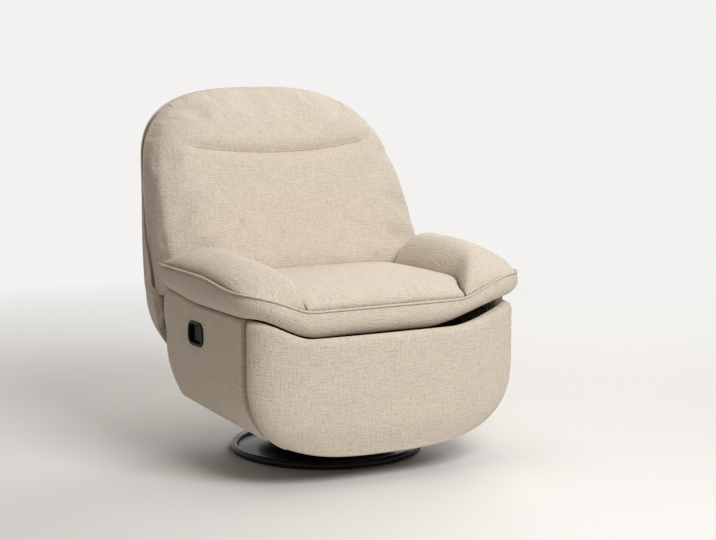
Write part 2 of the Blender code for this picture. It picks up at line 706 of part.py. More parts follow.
def build_footrest_pad(fabric, panel):
    ups = (0, 0.03, 0.09, 0.18, 0.32, 0.5, 0.7, 0.86, 0.96, 1)
    count = 18
    shares = [math.sin(math.pi / 2 * (2 * k / count - 1)) for k in range(count + 1)]
    outer = [[pad_point(share, up, False) for share in shares] for up in ups]
    inner = [[pad_point(share, up, True) for share in shares] for up in ups]
    add_mesh("footrest_pad", slab(outer, inner), fabric, panel)


def back_section(z, front):
    """Half of a level cut through the back, from one side seam round to the other."""
    seam = back_seam_y(z)
    half = back_half_width(z)
    round_from = BACK_SHOULDER_Z + 0.05
    round_top = superellipse(max(0, z - round_from) / (BACK_TOP_Z - round_from), 2.6)
    if front:
        bottom = superellipse(1 - min(1, (z - BACK_CUSHION_BOTTOM_Z) / BACK_CUSHION_FOOT), 2.2)
        depth = BACK_FRONT_DEPTH - BACK_FRONT_THINNING * (z - BACK_BEND_Z) - BACK_CUSHION_FOOT_DEPTH
        depth = (depth * bottom + BACK_CUSHION_FOOT_DEPTH) * round_top
        power = BACK_FRONT_ROUNDNESS
    else:
        depth = -BACK_SHELL_DEPTH * round_top
        power = BACK_REAR_ROUNDNESS
    points = []
    count = 18
    for k in range(count + 1):
        turn = math.pi * k / count
        x = half * math.copysign(abs(math.cos(turn)) ** (2 / power), math.cos(turn))
        away = depth * abs(math.sin(turn)) ** (2 / power)
        if front:
            rise = CREASE_RISE * (x / CREASE_HALF_WIDTH) ** 2
            off = (z - CREASE_Z - rise) / CREASE_WIDTH
            fade = 1 - smooth_step(abs(x), CREASE_HALF_WIDTH * 0.8, CREASE_HALF_WIDTH)
            away -= CREASE_DEPTH * math.exp(-off * off) * fade
        points.append((x, away))
    return seam, points


def back_levels(low, high, shares):
    """Heights of the level cuts between two heights, shared by the layers of the back."""
    span = BACK_TOP_Z - BACK_TAIL_Z
    return [BACK_TAIL_Z + span * share for share in shares if low <= BACK_TAIL_Z + span * share <= high]


def build_back_cushion(fabric, recline):
    low = BACK_CUSHION_BOTTOM_Z
    levels = [low, low + 0.008] + back_levels(low + 0.01, CREASE_Z - 0.05, BACK_LEVELS)
    levels += [CREASE_Z + step for step in (-0.035, -0.015, 0, 0.012, 0.024, 0.04)]
    levels += back_levels(CREASE_Z + 0.05, BACK_TOP_Z, BACK_TOP_LEVELS)
    rings = []
    for z in levels:
        seam, points = back_section(z, True)
        rings.append([(x, seam - away, z) for x, away in points])
    add_mesh("back_cushion", loft(rings), fabric, recline)


def build_outside_back(fabric, recline):
    rings = []
    shift = BACK_BOARD_WALL + 3 * GAP
    for z in back_levels(BACK_TAIL_Z, BACK_TOP_Z, BACK_LEVELS + BACK_TOP_LEVELS):
        seam, points = back_section(z, False)
        rings.append([(x, seam + shift - away, z) for x, away in points])
    add_mesh("outside_back", loft(rings), fabric, recline)


def build_back_frame(wood, black, recline):
    front = []
    rear = []
    columns = (-1, -0.5, 0, 0.5, 1)
    shares = BACK_LEVELS + BACK_TOP_LEVELS
    for z in back_levels(BACK_TAIL_Z + BACK_BOARD_RISE, BACK_TOP_Z - BACK_BOARD_TOP_INSET, shares):
        half = back_half_width(z) - BACK_BOARD_INSET
        y = back_seam_y(z) + 2 * GAP
        front.append([(half * column, y, z) for column in columns])
        rear.append([(half * column, y + BACK_BOARD_WALL, z) for column in columns])
    add_mesh("back_board", slab(front, rear), wood, recline)
    pin = circle((RECLINE_Y, RECLINE_Z), RECLINE_PIN)
    eye = circle((RECLINE_Y, RECLINE_Z), RECLINE_EYE)
    eye = [point for point in eye if point[0] < RECLINE_Y + 0.001]
    bottom = RECLINE_Z - BACK_BRACKET_DROP
    top = BACK_CUSHION_BOTTOM_Z - 0.004
    steps = 6
    edge = []
    for k in range(steps + 1):
        z = bottom + (top - bottom) * k / steps
        edge.append((back_seam_y(z), z))
    outline = edge + [(edge[-1][0] - BACK_BRACKET_WIDTH, top)]
    outline += sorted(eye, key=lambda point: -point[1])
    outline.append((edge[0][0] - BACK_BRACKET_WIDTH, bottom))
    for name, sign in SIDES:
        low, high = across(sign, BOARD_X - 0.001 - STEEL, BOARD_X - 0.001)
        reach = sign * (BOARD_X + BOARD_THICKNESS - 0.001)
        bracket = prism(outline, low, high, studs=[(pin, reach)])
        add_mesh(f"back_bracket_{name}", bracket, black, recline)


def unit(angle):
    return Vector((math.cos(angle), math.sin(angle)))


def turn2(vector, angle):
    return Vector((
        vector.x * math.cos(angle) - vector.y * math.sin(angle),
        vector.x * math.sin(angle) + vector.y * math.cos(angle),
    ))


def linkage():
    """Pivots of the folded footrest. The control and guide bars fit both ends of the travel exactly."""
    rear_deg = math.radians(REAR_BAR_DEG)
    front_deg = math.radians(FRONT_BAR_DEG)
    rear_swing = math.radians(REAR_BAR_SWING_DEG)
    front_swing = math.radians(FRONT_BAR_SWING_DEG)
    panel_swing = math.radians(PANEL_SWING_DEG)
    pivot = Vector((REAR_PIVOT_Y, REAR_PIVOT_Z))

    def pose(share):
        knee = pivot + REAR_BAR * unit(rear_deg + rear_swing * share)
        toe = knee + FRONT_BAR * unit(front_deg + front_swing * share)
        control = knee + CONTROL_ON_FRONT_BAR * unit(front_deg + front_swing * share)
        along = unit(rear_deg + rear_swing * share)
        guide = knee + GUIDE_ON_REAR_BAR * along + GUIDE_ASIDE * Vector((-along.y, along.x))
        return knee, toe, control, guide

    knee, toe, control, guide = pose(0)
    _, toe_open, control_open, guide_open = pose(1)
    middle = (control + control_open) / 2
    step = control_open - control
    across_step = Vector((step.y, -step.x))
    control_pivot = middle + across_step * (CONTROL_PIVOT_Y - middle.x) / across_step.x
    fold = guide - toe
    spread = turn2(guide_open - toe_open, -panel_swing)
    off = fold - spread
    square = (fold.length_squared - spread.length_squared) / 2
    reach = (square - off.y * GUIDE_BRACKET_RISE) / off.x
    return {
        "rear_pivot": pivot, "knee": knee, "toe": toe, "control": control, "guide": guide,
        "control_pivot": control_pivot, "bracket": toe + Vector((reach, GUIDE_BRACKET_RISE)),
    }


def build_footrest(black, steel, wood, fabric, axes, links):
    plane = {
        name: SIDE_PLATE_X - LINK_PITCH * (order + 1)
        for order, name in enumerate(("control", "front", "rear", "bracket", "guide"))
    }
    bore = LINK_PIN + PIN_CLEARANCE
    tube = circle(links["rear_pivot"], TORQUE_TUBE)
    reach = plane["rear"] - GAP
    add_mesh("torque_tube", prism(tube, -reach, reach), black, axes["rear"])

    def bar(name, layer, axis, sign, pivots, holes=(), studs=()):
        outline = hull(*(circle(links[pivot], LINK_EYE) for pivot in pivots))
        low, high = across(sign, plane[layer], plane[layer] + STEEL)
        bores = [circle(links[pivot], bore) for pivot in holes]
        pins = [(circle(links[pivot], LINK_PIN), sign * far) for pivot, far in studs]
        add_mesh(name, prism(outline, low, high, holes=bores, studs=pins), black, axis)

    outside = SIDE_PLATE_X + STEEL
    face = {name: x + STEEL for name, x in plane.items()}
    for name, sign in SIDES:
        bar(f"rear_link_{name}", "rear", axes["rear"], sign, ("rear_pivot", "knee", "guide"),
            holes=("knee", "guide"), studs=[("rear_pivot", outside)])
        bar(f"front_link_{name}", "front", axes["front"], sign, ("knee", "toe"),
            holes=("toe",), studs=[("knee", plane["rear"])])
        bar(f"control_link_{name}", "control", axes["control"], sign, ("control_pivot", "control"),
            studs=[("control_pivot", outside), ("control", face["front"] + GAP)])
        bar(f"guide_link_{name}", "guide", axes["guide"], sign, ("guide", "bracket"),
            studs=[("guide", face["rear"])])
        build_footrest_bracket(f"footrest_bracket_{name}", sign, plane, black, axes["panel"], links)
    board = rounded_rectangle(
        (0, (PAD_BOARD_TOP_Z + PAD_BOARD_BOTTOM_Z) / 2), 2 * PAD_BOARD_HALF_WIDTH,
        PAD_BOARD_TOP_Z - PAD_BOARD_BOTTOM_Z, 0.02,
    )
    front = board_face()
    add_mesh("footrest_board", prism(board, front, front + PAD_BOARD_WALL, "Y"), wood, axes["panel"])
    build_footrest_pad(fabric, axes["panel"])


def board_face():
    """Front of the footrest board, just behind the inside of the pad at the board's lower corners."""
    share = PAD_BOARD_HALF_WIDTH / (tub_half_width(PAD_BOARD_BOTTOM_Z) - PAD_EAR_WALL)
    return SIDE_FRONT_Y - 0.0048 - (PAD_FRONT_DEPTH - PAD_WALL) * superellipse(share, PAD_ROUNDNESS)


def build_footrest_bracket(name, sign, plane, black, panel, links):
    """Steel arm on the back of the footrest board. Its stud carries the front bar."""
    front = board_face() + PAD_BOARD_WALL + GAP
    toe = circle(links["toe"], LINK_EYE)
    guide = circle(links["bracket"], LINK_EYE)
    strip = [
        (front, PAD_BOARD_BOTTOM_Z + 0.10), (front + 0.012, PAD_BOARD_BOTTOM_Z + 0.10),
        (front, PAD_BOARD_BOTTOM_Z),
    ]
    low, high = across(sign, plane["bracket"], plane["bracket"] + STEEL)
    stud = (circle(links["toe"], LINK_PIN), sign * (plane["front"] + STEEL))
    add_mesh(name, prism(hull(toe, guide, strip), low, high, studs=[stud]), black, panel)


def build_handle(black, steel, rock, lever, panel):
    """Recessed release handle: a cup set into the side panel, with a hinged pull flap and its pin."""
    face = TUB_HALF_WIDTH
    centre = (HANDLE_Y, HANDLE_Z)
    cup_length = BEZEL_LENGTH - 2 * BEZEL_FLANGE
    cup_height = BEZEL_HEIGHT - 2 * BEZEL_FLANGE
    cup_corner = BEZEL_CORNER - BEZEL_FLANGE
    opening = rounded_rectangle(
        centre, cup_length + 2 * BEZEL_CLEARANCE, cup_height + 2 * BEZEL_CLEARANCE,
        cup_corner + BEZEL_CLEARANCE,
    )
    past = SIDE_THICKNESS + 0.02
    cutter = add_mesh("handle_opening", prism(opening, -face - 0.02, -face + past), black, rock)
    cutter.hide_render = True
    cutter.display_type = "WIRE"
    cut = panel.modifiers.new("handle_opening", "BOOLEAN")
    cut.operation = "DIFFERENCE"
    cut.object = cutter
    seat = face + GAP

    def ring(shrink, x):
        loop = rounded_rectangle(
            centre, BEZEL_LENGTH - 2 * shrink, BEZEL_HEIGHT - 2 * shrink, BEZEL_CORNER - shrink
        )
        return [(-x, y, z) for y, z in loop]

    inside = BEZEL_FLANGE + BEZEL_WALL
    floor = face - BEZEL_DEPTH + BEZEL_WALL
    add_mesh("handle_bezel", loft([
        ring(BEZEL_FLANGE, face - BEZEL_DEPTH), ring(BEZEL_FLANGE, seat), ring(0, seat),
        ring(0.0006, seat + BEZEL_PROUD * 0.6), ring(0.002, seat + BEZEL_PROUD),
        ring(inside - 0.001, seat + BEZEL_PROUD), ring(inside, seat + BEZEL_PROUD * 0.6),
        ring(inside, floor),
    ]), black, rock)
    half = BEZEL_HEIGHT / 2 - inside - LEVER_MARGIN
    pin_half = BEZEL_HEIGHT / 2 - inside - GAP
    hinge = Vector(lever["place"]).xy
    barrel = circle(hinge, LEVER_BARREL)
    tip = (hinge.x - LEVER_BLADE / 2, hinge.y + LEVER_LENGTH)
    blade = rounded_rectangle((tip[0], tip[1] - LEVER_BLADE), LEVER_BLADE, 2 * LEVER_BLADE, 0.002, 2)
    bore = circle(hinge, LEVER_PIN + PIN_CLEARANCE)
    flap = prism(hull(barrel, blade), HANDLE_Z - half, HANDLE_Z + half, "Z", holes=[bore])
    add_mesh("handle_lever", flap, black, lever)
    pin = circle(hinge, LEVER_PIN)
    add_mesh("handle_pin", prism(pin, HANDLE_Z - pin_half, HANDLE_Z + pin_half, "Z"), steel, rock)


def build_cable(black, rock):
    """Release cable from the back of the handle, through the side board, to the latch on the plate."""
    start = Vector((-(TUB_HALF_WIDTH - BEZEL_DEPTH - GAP), HANDLE_Y, HANDLE_Z))
    latch_x = SIDE_PLATE_X + STEEL + GAP
    end = Vector((-latch_x, REAR_PIVOT_Y + CABLE_LATCH_Y, REAR_PIVOT_Z + CABLE_LATCH_Z))
    through = Vector((-(BOARD_X - CABLE_STRAIGHT), HANDLE_Y, HANDLE_Z))
    before_end = end - Vector((CABLE_STRAIGHT, 0, 0))
    span = before_end - through
    bends = [through - Vector((CABLE_STRAIGHT / 2, 0, 0)), through]
    for along, ahead, down in ((0.35, 0.25, 0.10), (0.65, 0.60, 0.45)):
        bends.append(through + Vector((span.x * along, span.y * ahead, span.z * down)))
    bends += [before_end, end - Vector((CABLE_STRAIGHT / 2, 0, 0))]
    points = [start]
    steps = 5
    for k in range(len(bends) - 1):
        before = bends[max(k - 1, 0)]
        after = bends[min(k + 2, len(bends) - 1)]
        for step in range(steps):
            share = step / steps
            points.append(
                ((2 * bends[k]) + (bends[k + 1] - before) * share
                 + (2 * before - 5 * bends[k] + 4 * bends[k + 1] - after) * share ** 2
                 + (3 * bends[k] - before - 3 * bends[k + 1] + after) * share ** 3) / 2
            )
    points += [bends[-1], end]
    wire("release_cable", points, CABLE_RADIUS, black, rock, sides=2)


def main():
    for obj in list(bpy.data.objects):
        bpy.data.objects.remove(obj)
    fabric = material("cream_fabric", (0.64, 0.57, 0.48), 0.92, 0.0)
    black = material("black_paint", (0.012, 0.012, 0.013), 0.35, 0.0)
    steel = material("bare_steel", (0.55, 0.55, 0.56), 0.35, 1.0)
    wood = material("frame_wood", (0.50, 0.36, 0.22), 0.70, 0.0)
    links = linkage()
    base = axis_empty("chair_origin", (0, 0, 0))
    swivel = axis_empty("swivel_axis", (0, 0, SWIVEL_PLATE_Z), base)
    rock = axis_empty("rock_axis", (0, 0, ROCK_Z), swivel)
    recline = axis_empty("recline_axis", (0, RECLINE_Y, RECLINE_Z), rock)
    hinge_x = -(TUB_HALF_WIDTH - LEVER_BARREL - LEVER_MARGIN)
    hinge_y = HANDLE_Y - BEZEL_LENGTH / 2 + BEZEL_FLANGE + BEZEL_WALL + LEVER_SET_IN
    lever = axis_empty("handle_axis", (hinge_x, hinge_y, HANDLE_Z), rock)
    axes = {}
    for name, pivot, parent in (
        ("rear", "rear_pivot", None), ("control", "control_pivot", None), ("front", "knee", "rear"),
        ("guide", "guide", "rear"), ("panel", "toe", "front"),
    ):
        carrier = axes[parent] if parent else rock
        axes[name] = axis_empty(f"{name}_link_axis", (0, *links[pivot]), carrier)
    build_base(black, steel, base)
    build_rocker(black, steel, wood, swivel, rock)
    build_frame(black, steel, wood, rock, links)
    build_seat_cushion(fabric, rock)
    panels = {}
    for name, sign in SIDES:
        build_arm_pad(f"arm_pad_{name}", sign, fabric, rock)
        panels[name] = build_side_panel(f"side_panel_{name}", sign, fabric, rock)
    build_handle(black, steel, rock, lever, panels["left"])
    build_cable(black, rock)
    build_footrest(black, steel, wood, fabric, axes, links)
    build_back_cushion(fabric, recline)
    build_outside_back(fabric, recline)
    build_back_frame(wood, black, recline)
    base.location = (0, -CENTRE_OFFSET, 0)


main()
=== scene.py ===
"""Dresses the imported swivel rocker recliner: upholstery, seams, finishes and a studio stage.

Shapes are written from the swivel axis at floor level, in metres, and move to the frame of the
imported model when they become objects. Where a constant is a pair, a smooth change runs from its
first number to its second.
"""

import json
import math

import bmesh
import bpy
import numpy as np
from bpy.props import FloatProperty
from bpy.props import FloatVectorProperty
from bpy.props import PointerProperty
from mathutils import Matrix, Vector
from mathutils.bvhtree import BVHTree


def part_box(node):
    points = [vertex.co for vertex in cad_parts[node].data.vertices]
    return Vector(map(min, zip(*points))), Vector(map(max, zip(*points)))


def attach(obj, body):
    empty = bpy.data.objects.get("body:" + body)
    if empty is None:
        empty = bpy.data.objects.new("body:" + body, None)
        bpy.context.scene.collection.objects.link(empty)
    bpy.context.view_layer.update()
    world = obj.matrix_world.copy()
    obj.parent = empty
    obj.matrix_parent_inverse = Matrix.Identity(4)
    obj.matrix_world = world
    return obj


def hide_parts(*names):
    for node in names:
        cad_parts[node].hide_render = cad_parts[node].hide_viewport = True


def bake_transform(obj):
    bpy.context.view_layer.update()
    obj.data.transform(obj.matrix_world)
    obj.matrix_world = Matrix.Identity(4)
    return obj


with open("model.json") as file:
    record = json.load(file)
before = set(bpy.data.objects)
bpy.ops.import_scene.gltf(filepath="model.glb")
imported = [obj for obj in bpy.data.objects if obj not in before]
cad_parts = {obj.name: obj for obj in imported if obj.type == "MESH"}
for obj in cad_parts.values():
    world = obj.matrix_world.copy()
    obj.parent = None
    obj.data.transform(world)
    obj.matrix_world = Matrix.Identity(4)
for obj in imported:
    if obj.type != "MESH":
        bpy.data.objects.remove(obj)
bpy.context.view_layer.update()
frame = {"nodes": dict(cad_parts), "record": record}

bl_info = {
    "name": "Swivel Rocker Recliner",
    "version": (1, 0, 0),
    "blender": (4, 5, 0),
    "location": "View3D > Sidebar > Recliner",
    "description": "Upholsters and finishes a swivel rocker recliner around its packed frame",
    "category": "Object",
}

SIDES = (("left", -1), ("right", 1))


def centre_of(node):
    low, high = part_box(node)
    return (low + high) / 2


SWIVEL_Y = centre_of("base_ring").y
TUB_HALF_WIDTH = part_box("footrest_pad")[1].x
ARM_HALF_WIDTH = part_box("arm_pad_right")[1].x
ARM_INNER_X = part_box("arm_pad_right")[0].x
SEAT_HALF_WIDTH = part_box("seat_cushion")[1].x
SEAT_FRONT_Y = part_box("seat_cushion")[0].y - SWIVEL_Y
SEAT_REAR_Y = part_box("seat_cushion")[1].y - SWIVEL_Y
BAND_FRONT_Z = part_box("seat_cushion")[0].z
BACK_TAIL_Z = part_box("outside_back")[0].z


def metres(name, description, default, low, high):
    """A length that a user can change."""
    return FloatProperty(
        name=name, description=description, default=default, min=low, max=high, unit="LENGTH",
    )


def tint(name, description, default):
    """A colour that a user can change."""
    return FloatVectorProperty(
        name=name, description=description, default=default, size=3, subtype="COLOR", min=0, max=1,
    )


class ReclinerSizes(bpy.types.PropertyGroup):
    """Sizes of the upholstery that a user may want to change."""

    welt_radius: metres(
        "Welt radius", "Half the thickness of the piped seam round the seat and arms", 0.0034, 0.001, 0.01,
    )
    crease_depth: metres("Crease depth", "Depth of the sewn crease below the head rest", 0.014, 0.0, 0.03)
    swell: metres("Swell", "Most that the air pressure in a pillow may move its cover", 0.014, 0.0, 0.03)
    edge_roll: metres("Edge roll", "Radius of the rolled edges of the side panels", 0.016, 0.004, 0.03)
    thread_pitch: metres(
        "Thread pitch", "Distance between neighbouring threads of the weave", 0.0054, 0.001, 0.02,
    )


class ReclinerColours(bpy.types.PropertyGroup):
    """Colours of the finishes."""

    fabric: tint("Fabric", "Raised threads of the upholstery fabric", (0.70, 0.62, 0.52))
    # Painted shade: the darker colour given to the hollows between the threads.
    shaded_fabric_gap: tint("Fabric gaps", "Hollows between the threads", (0.47, 0.39, 0.30))
    # Painted shadow: the dark cord stands in for the shade in the gap of the seam round the back.
    seam: tint("Seam", "Dark cord in the seam round the back", (0.17, 0.12, 0.075))
    paint: tint("Paint", "Black paint of the base and the mechanism", (0.012, 0.012, 0.013))
    plastic: tint("Plastic", "Moulded plastic of the release handle", (0.006, 0.0065, 0.007))
    zinc: tint("Zinc", "Plated steel of springs and bearing parts", (0.62, 0.61, 0.58))
    wood: tint("Wood", "Softwood of the hidden frame", (0.46, 0.32, 0.19))
    floor: tint("Floor", "Studio floor", (0.76, 0.75, 0.73))


class ReclinerView(bpy.types.PropertyGroup):
    """Where the camera stands."""

    azimuth: FloatProperty(
        name="Azimuth", description="Angle of the camera round the chair, from straight in front",
        default=math.radians(-29.3), subtype="ANGLE",
    )
    elevation: FloatProperty(
        name="Elevation", description="Angle of the camera above the horizon",
        default=math.radians(8.1), subtype="ANGLE",
    )
    distance: metres("Distance", "Distance from the camera to the point it looks at", 5.32, 1, 20)
    aside: metres("Aside", "How far right of the swivel axis the camera looks", 0.093, -1, 1)
    height: metres("Height", "Height of the point the camera looks at", 0.518, 0, 2)
    lens: FloatProperty(
        name="Lens", description="Focal length on a 36 mm wide sensor, in millimetres",
        default=93.7, min=10,
    )


def sizes():
    return bpy.context.scene.recliner_sizes


def colours():
    return bpy.context.scene.recliner_colours


def superellipse(share, power):
    """Height of a unit superellipse at a share of its half width."""
    return (1 - np.clip(np.abs(share), 0, 1) ** power) ** (1 / power)


def share_of(value, start, end):
    """How far a value has come from a start to an end, from 0 to 1."""
    return np.clip((value - start) / (end - start), 0, 1)


def smooth_step(value, start, end):
    share = share_of(value, start, end)
    return share * share * (3 - 2 * share)


def plateau(value, rising, falling):
    """1 between a smooth rise and a smooth fall, and 0 outside them."""
    return smooth_step(value, *rising) * (1 - smooth_step(value, *falling))


def rise(distance, reach, power=2.2):
    """Climbs from 0 at an edge to 1 at a reach from it, upright at the edge like a stuffed rim."""
    return superellipse(1 - np.clip(distance / reach, 0, 1), power)


def eased(count, ease=0.8):
    """Shares from -1 to 1, closer together towards both ends."""
    line = np.linspace(-1, 1, count)
    return (1 - ease) * line + ease * np.sin(math.pi / 2 * line)


def eased_share(count):
    """Shares from 0 to 1, closer together towards both ends."""
    return (eased(count) + 1) / 2


def quarter_turn(count):
    """Shares from 0 to 1, closer together towards 1."""
    return np.sin(math.pi / 2 * np.linspace(0, 1, count))


def full_turn(count):
    """Evenly spaced angles once round."""
    return 2 * math.pi * np.arange(count) / count


def unit(vectors):
    return vectors / np.maximum(np.linalg.norm(vectors, axis=-1, keepdims=True), 1e-12)


def grid_of(x, y, z):
    """A grid of points from the grids of their coordinates."""
    return np.stack(np.broadcast_arrays(x, y, z), axis=-1)


def round_off(across, along, power):
    """Factor that draws a square grid in to a superellipse where along is above 0."""
    out = np.abs(across)
    ahead = np.maximum(along, 0)
    radius = np.maximum((out ** power + ahead ** power) ** (1 / power), 1e-9)
    return np.where(along > 0, np.maximum(out, ahead) / radius, 1.0)


def arc_lengths(points):
    """Distance along the rows and down the columns of a grid, in metres, measured from its middle."""
    across = np.zeros(points.shape[:2])
    down = np.zeros(points.shape[:2])
    across[:, 1:] = np.cumsum(np.linalg.norm(np.diff(points, axis=1), axis=2), axis=1)
    down[1:, :] = np.cumsum(np.linalg.norm(np.diff(points, axis=0), axis=2), axis=0)
    across -= across[:, [points.shape[1] // 2]]
    down -= down[[points.shape[0] // 2], :]
    return across, down


def grid_normals(points):
    """Normals of a grid, each the sum of the faces round its point."""
    face = np.cross(points[1:, 1:] - points[:-1, :-1], points[1:, :-1] - points[:-1, 1:])
    normal = np.zeros_like(points)
    for rows in (slice(None, -1), slice(1, None)):
        for columns in (slice(None, -1), slice(1, None)):
            normal[rows, columns] += face
    return unit(normal)


def rim_of(grid):
    """Marks the points on the border of a grid."""
    rim = np.ones(grid.shape[:2], bool)
    rim[1:-1, 1:-1] = False
    return rim


def ring_of(number):
    """Numbers of the points on the border of a grid, in order."""
    return np.concatenate([number[0], number[1:, -1], number[-1, -2::-1], number[-2:0:-1, 0]])


def quads(here, beside):
    """Faces between numbered columns of points and the columns beside them."""
    return np.stack((here[:-1], beside[:-1], beside[1:], here[1:]), axis=2).reshape(-1, 4).tolist()


def tube_faces(number):
    """Faces of a tube from numbered rings of points, capped at both ends."""
    return quads(number, np.roll(number, -1, axis=1)) + [number[0].tolist(), number[-1].tolist()]


def new_object(name, verts, faces, finish, thread=None):
    """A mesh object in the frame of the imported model, with outward normals. Thread lengths are its UV map."""
    mesh = bpy.data.meshes.new(name)
    mesh.from_pydata([(x, y + SWIVEL_Y, z) for x, y, z in verts], [], faces)
    bm = bmesh.new()
    bm.from_mesh(mesh)
    bmesh.ops.recalc_face_normals(bm, faces=bm.faces)
    if thread is not None:
        layer = bm.loops.layers.uv.new("cloth")
        for face in bm.faces:
            for loop in face.loops:
                loop[layer].uv = thread[loop.vert.index]
    bm.to_mesh(mesh)
    bm.free()
    mesh.shade_smooth()
    mesh.materials.append(finish)
    obj = bpy.data.objects.new(name, mesh)
    bpy.context.scene.collection.objects.link(obj)
    return obj


def sewn_pad(name, front, back, finish):
    """A closed pad from two grids of equal size. Borders that coincide are sewn, others get a wall."""
    number = np.arange(front[..., 0].size).reshape(front.shape[:2])
    other = number + number.size
    rim = rim_of(front)
    sewn = np.abs(front - back)[rim].max() < 1e-6
    if sewn:
        other = np.where(rim, number, other)
    faces = [face for sheet in (number, other) for face in quads(sheet[:, :-1], sheet[:, 1:])]
    if not sewn:
        near = ring_of(number)
        far = ring_of(other)
        faces += np.stack((near, np.roll(near, -1), np.roll(far, -1), far), axis=1).tolist()
    verts = np.concatenate([front.reshape(-1, 3), back.reshape(-1, 3)])
    thread = np.tile(np.stack(arc_lengths(front), axis=2).reshape(-1, 2), (2, 1))
    used = np.unique(faces)
    faces = np.searchsorted(used, faces).tolist()
    return new_object(name, verts[used].tolist(), faces, finish, thread[used].tolist())


def rolled_panel(name, sheet, thickness, rolls, finish):
    """A padded panel on both sides of a middle sheet. Its four edges roll over with the given radii."""
    across, down = arc_lengths(sheet)
    gaps = (across - across[:, [0]], across[:, [-1]] - across, down - down[[0], :], down[[-1], :] - down)
    full = np.ones(sheet.shape[:2])
    for gap, roll in zip(gaps, rolls):
        full *= rise(gap, roll, 2.0)
    offset = grid_normals(sheet) * (full * thickness / 2)[..., None]
    return sewn_pad(name, sheet + offset, sheet - offset, finish)


def swept(name, grid, finish, thread):
    """A tube from rings of points, closed round each ring and capped at both ends."""
    number = np.arange(grid[..., 0].size).reshape(grid.shape[:2])
    verts = grid.reshape(-1, 3).tolist()
    return new_object(name, verts, tube_faces(number), finish, thread.reshape(-1, 2).tolist())


def run_lengths(points):
    return np.concatenate([[0], np.cumsum(np.linalg.norm(np.diff(points, axis=0), axis=1))])


def cord_rings(points, radius, sides):
    """Rings of points round a line, turned along it without twist."""
    points = np.asarray(points, float)
    along = unit(np.gradient(points, axis=0))
    upright = np.zeros_like(points)
    carried = np.array([0.0, 0.0, 1.0]) if abs(along[0, 2]) < 0.9 else np.array([0.0, 1.0, 0.0])
    for k, heading in enumerate(along):
        carried = unit(carried - heading * carried.dot(heading))
        upright[k] = carried
    level = np.cross(along, upright)
    turn = full_turn(sides)[:, None]
    around = np.cos(turn) * upright[:, None] + np.sin(turn) * level[:, None]
    return points[:, None] + radius * around


def piping(name, points, radius, finish, sides=10):
    """A round cord along an open line of points."""
    grid = cord_rings(points, radius, sides)
    thread = np.zeros((len(points), sides, 2))
    thread[..., 0] = run_lengths(np.asarray(points, float))[:, None]
    thread[..., 1] = radius * full_turn(sides)
    return swept(name, grid, finish, thread)


def surface_of(obj):
    """A search tree over the finished surface of a piece."""
    bpy.context.view_layer.update()
    return BVHTree.FromObject(obj, bpy.context.evaluated_depsgraph_get())


def points_on(surface, plan, start_y, heading):
    """Where rays along Y from a line of (x, z) points meet a surface, with the swivel axis at y = 0."""
    found = []
    for x, z in plan:
        hit = surface.ray_cast(Vector((x, start_y, z)), Vector((0, heading, 0)))[0]
        if hit is not None:
            found.append((hit.x, hit.y - SWIVEL_Y, hit.z))
    return np.array(found)


PILLOW_PRESSURE = 3.0
SIM_FRAMES = 20


def inflate(obj, front, give):
    """Blows up the front of a pillow with cloth simulation.

    The border of the front and all behind it hold still, and no other point moves past the swell.
    """
    scene = bpy.context.scene
    rest = np.array([vert.co for vert in obj.data.vertices])
    pinned = np.concatenate([np.flatnonzero(rim_of(front)), np.arange(front[..., 0].size, len(rest))])
    group = obj.vertex_groups.new(name="seam")
    group.add(pinned.tolist(), 1.0, "REPLACE")
    cloth = obj.modifiers.new("pillow", "CLOTH")
    settings = cloth.settings
    settings.quality = 5
    settings.vertex_group_mass = group.name
    settings.use_pressure = True
    settings.uniform_pressure_force = PILLOW_PRESSURE
    settings.effector_weights.gravity = 0
    settings.shrink_min = -give
    settings.bending_stiffness = 2.0
    cloth.collision_settings.use_collision = False
    cloth.point_cache.frame_start = 1
    cloth.point_cache.frame_end = SIM_FRAMES
    for step in range(1, SIM_FRAMES + 1):
        scene.frame_set(step)
    blown = obj.evaluated_get(bpy.context.evaluated_depsgraph_get())
    moved = np.array([vert.co for vert in blown.data.vertices]) - rest
    if not np.isfinite(moved).all():
        raise RuntimeError(f"the cloth of {obj.name} blew up")
    reach = np.linalg.norm(moved, axis=1, keepdims=True)
    most = sizes().swell
    moved *= most * np.tanh(reach / most) / np.maximum(reach, 1e-9)
    obj.modifiers.remove(cloth)
    obj.vertex_groups.remove(group)
    obj.data.vertices.foreach_set("co", (rest + moved).ravel())
    obj.data.update()
    scene.frame_set(1)


def subdivided(obj, levels=1):
    fine = obj.modifiers.new("fine", "SUBSURF")
    fine.levels = levels
    fine.render_levels = levels
    return obj


def place(obj, body, nodes=()):
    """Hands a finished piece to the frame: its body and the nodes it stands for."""
    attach(obj, body)
    if nodes:
        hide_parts(*nodes)


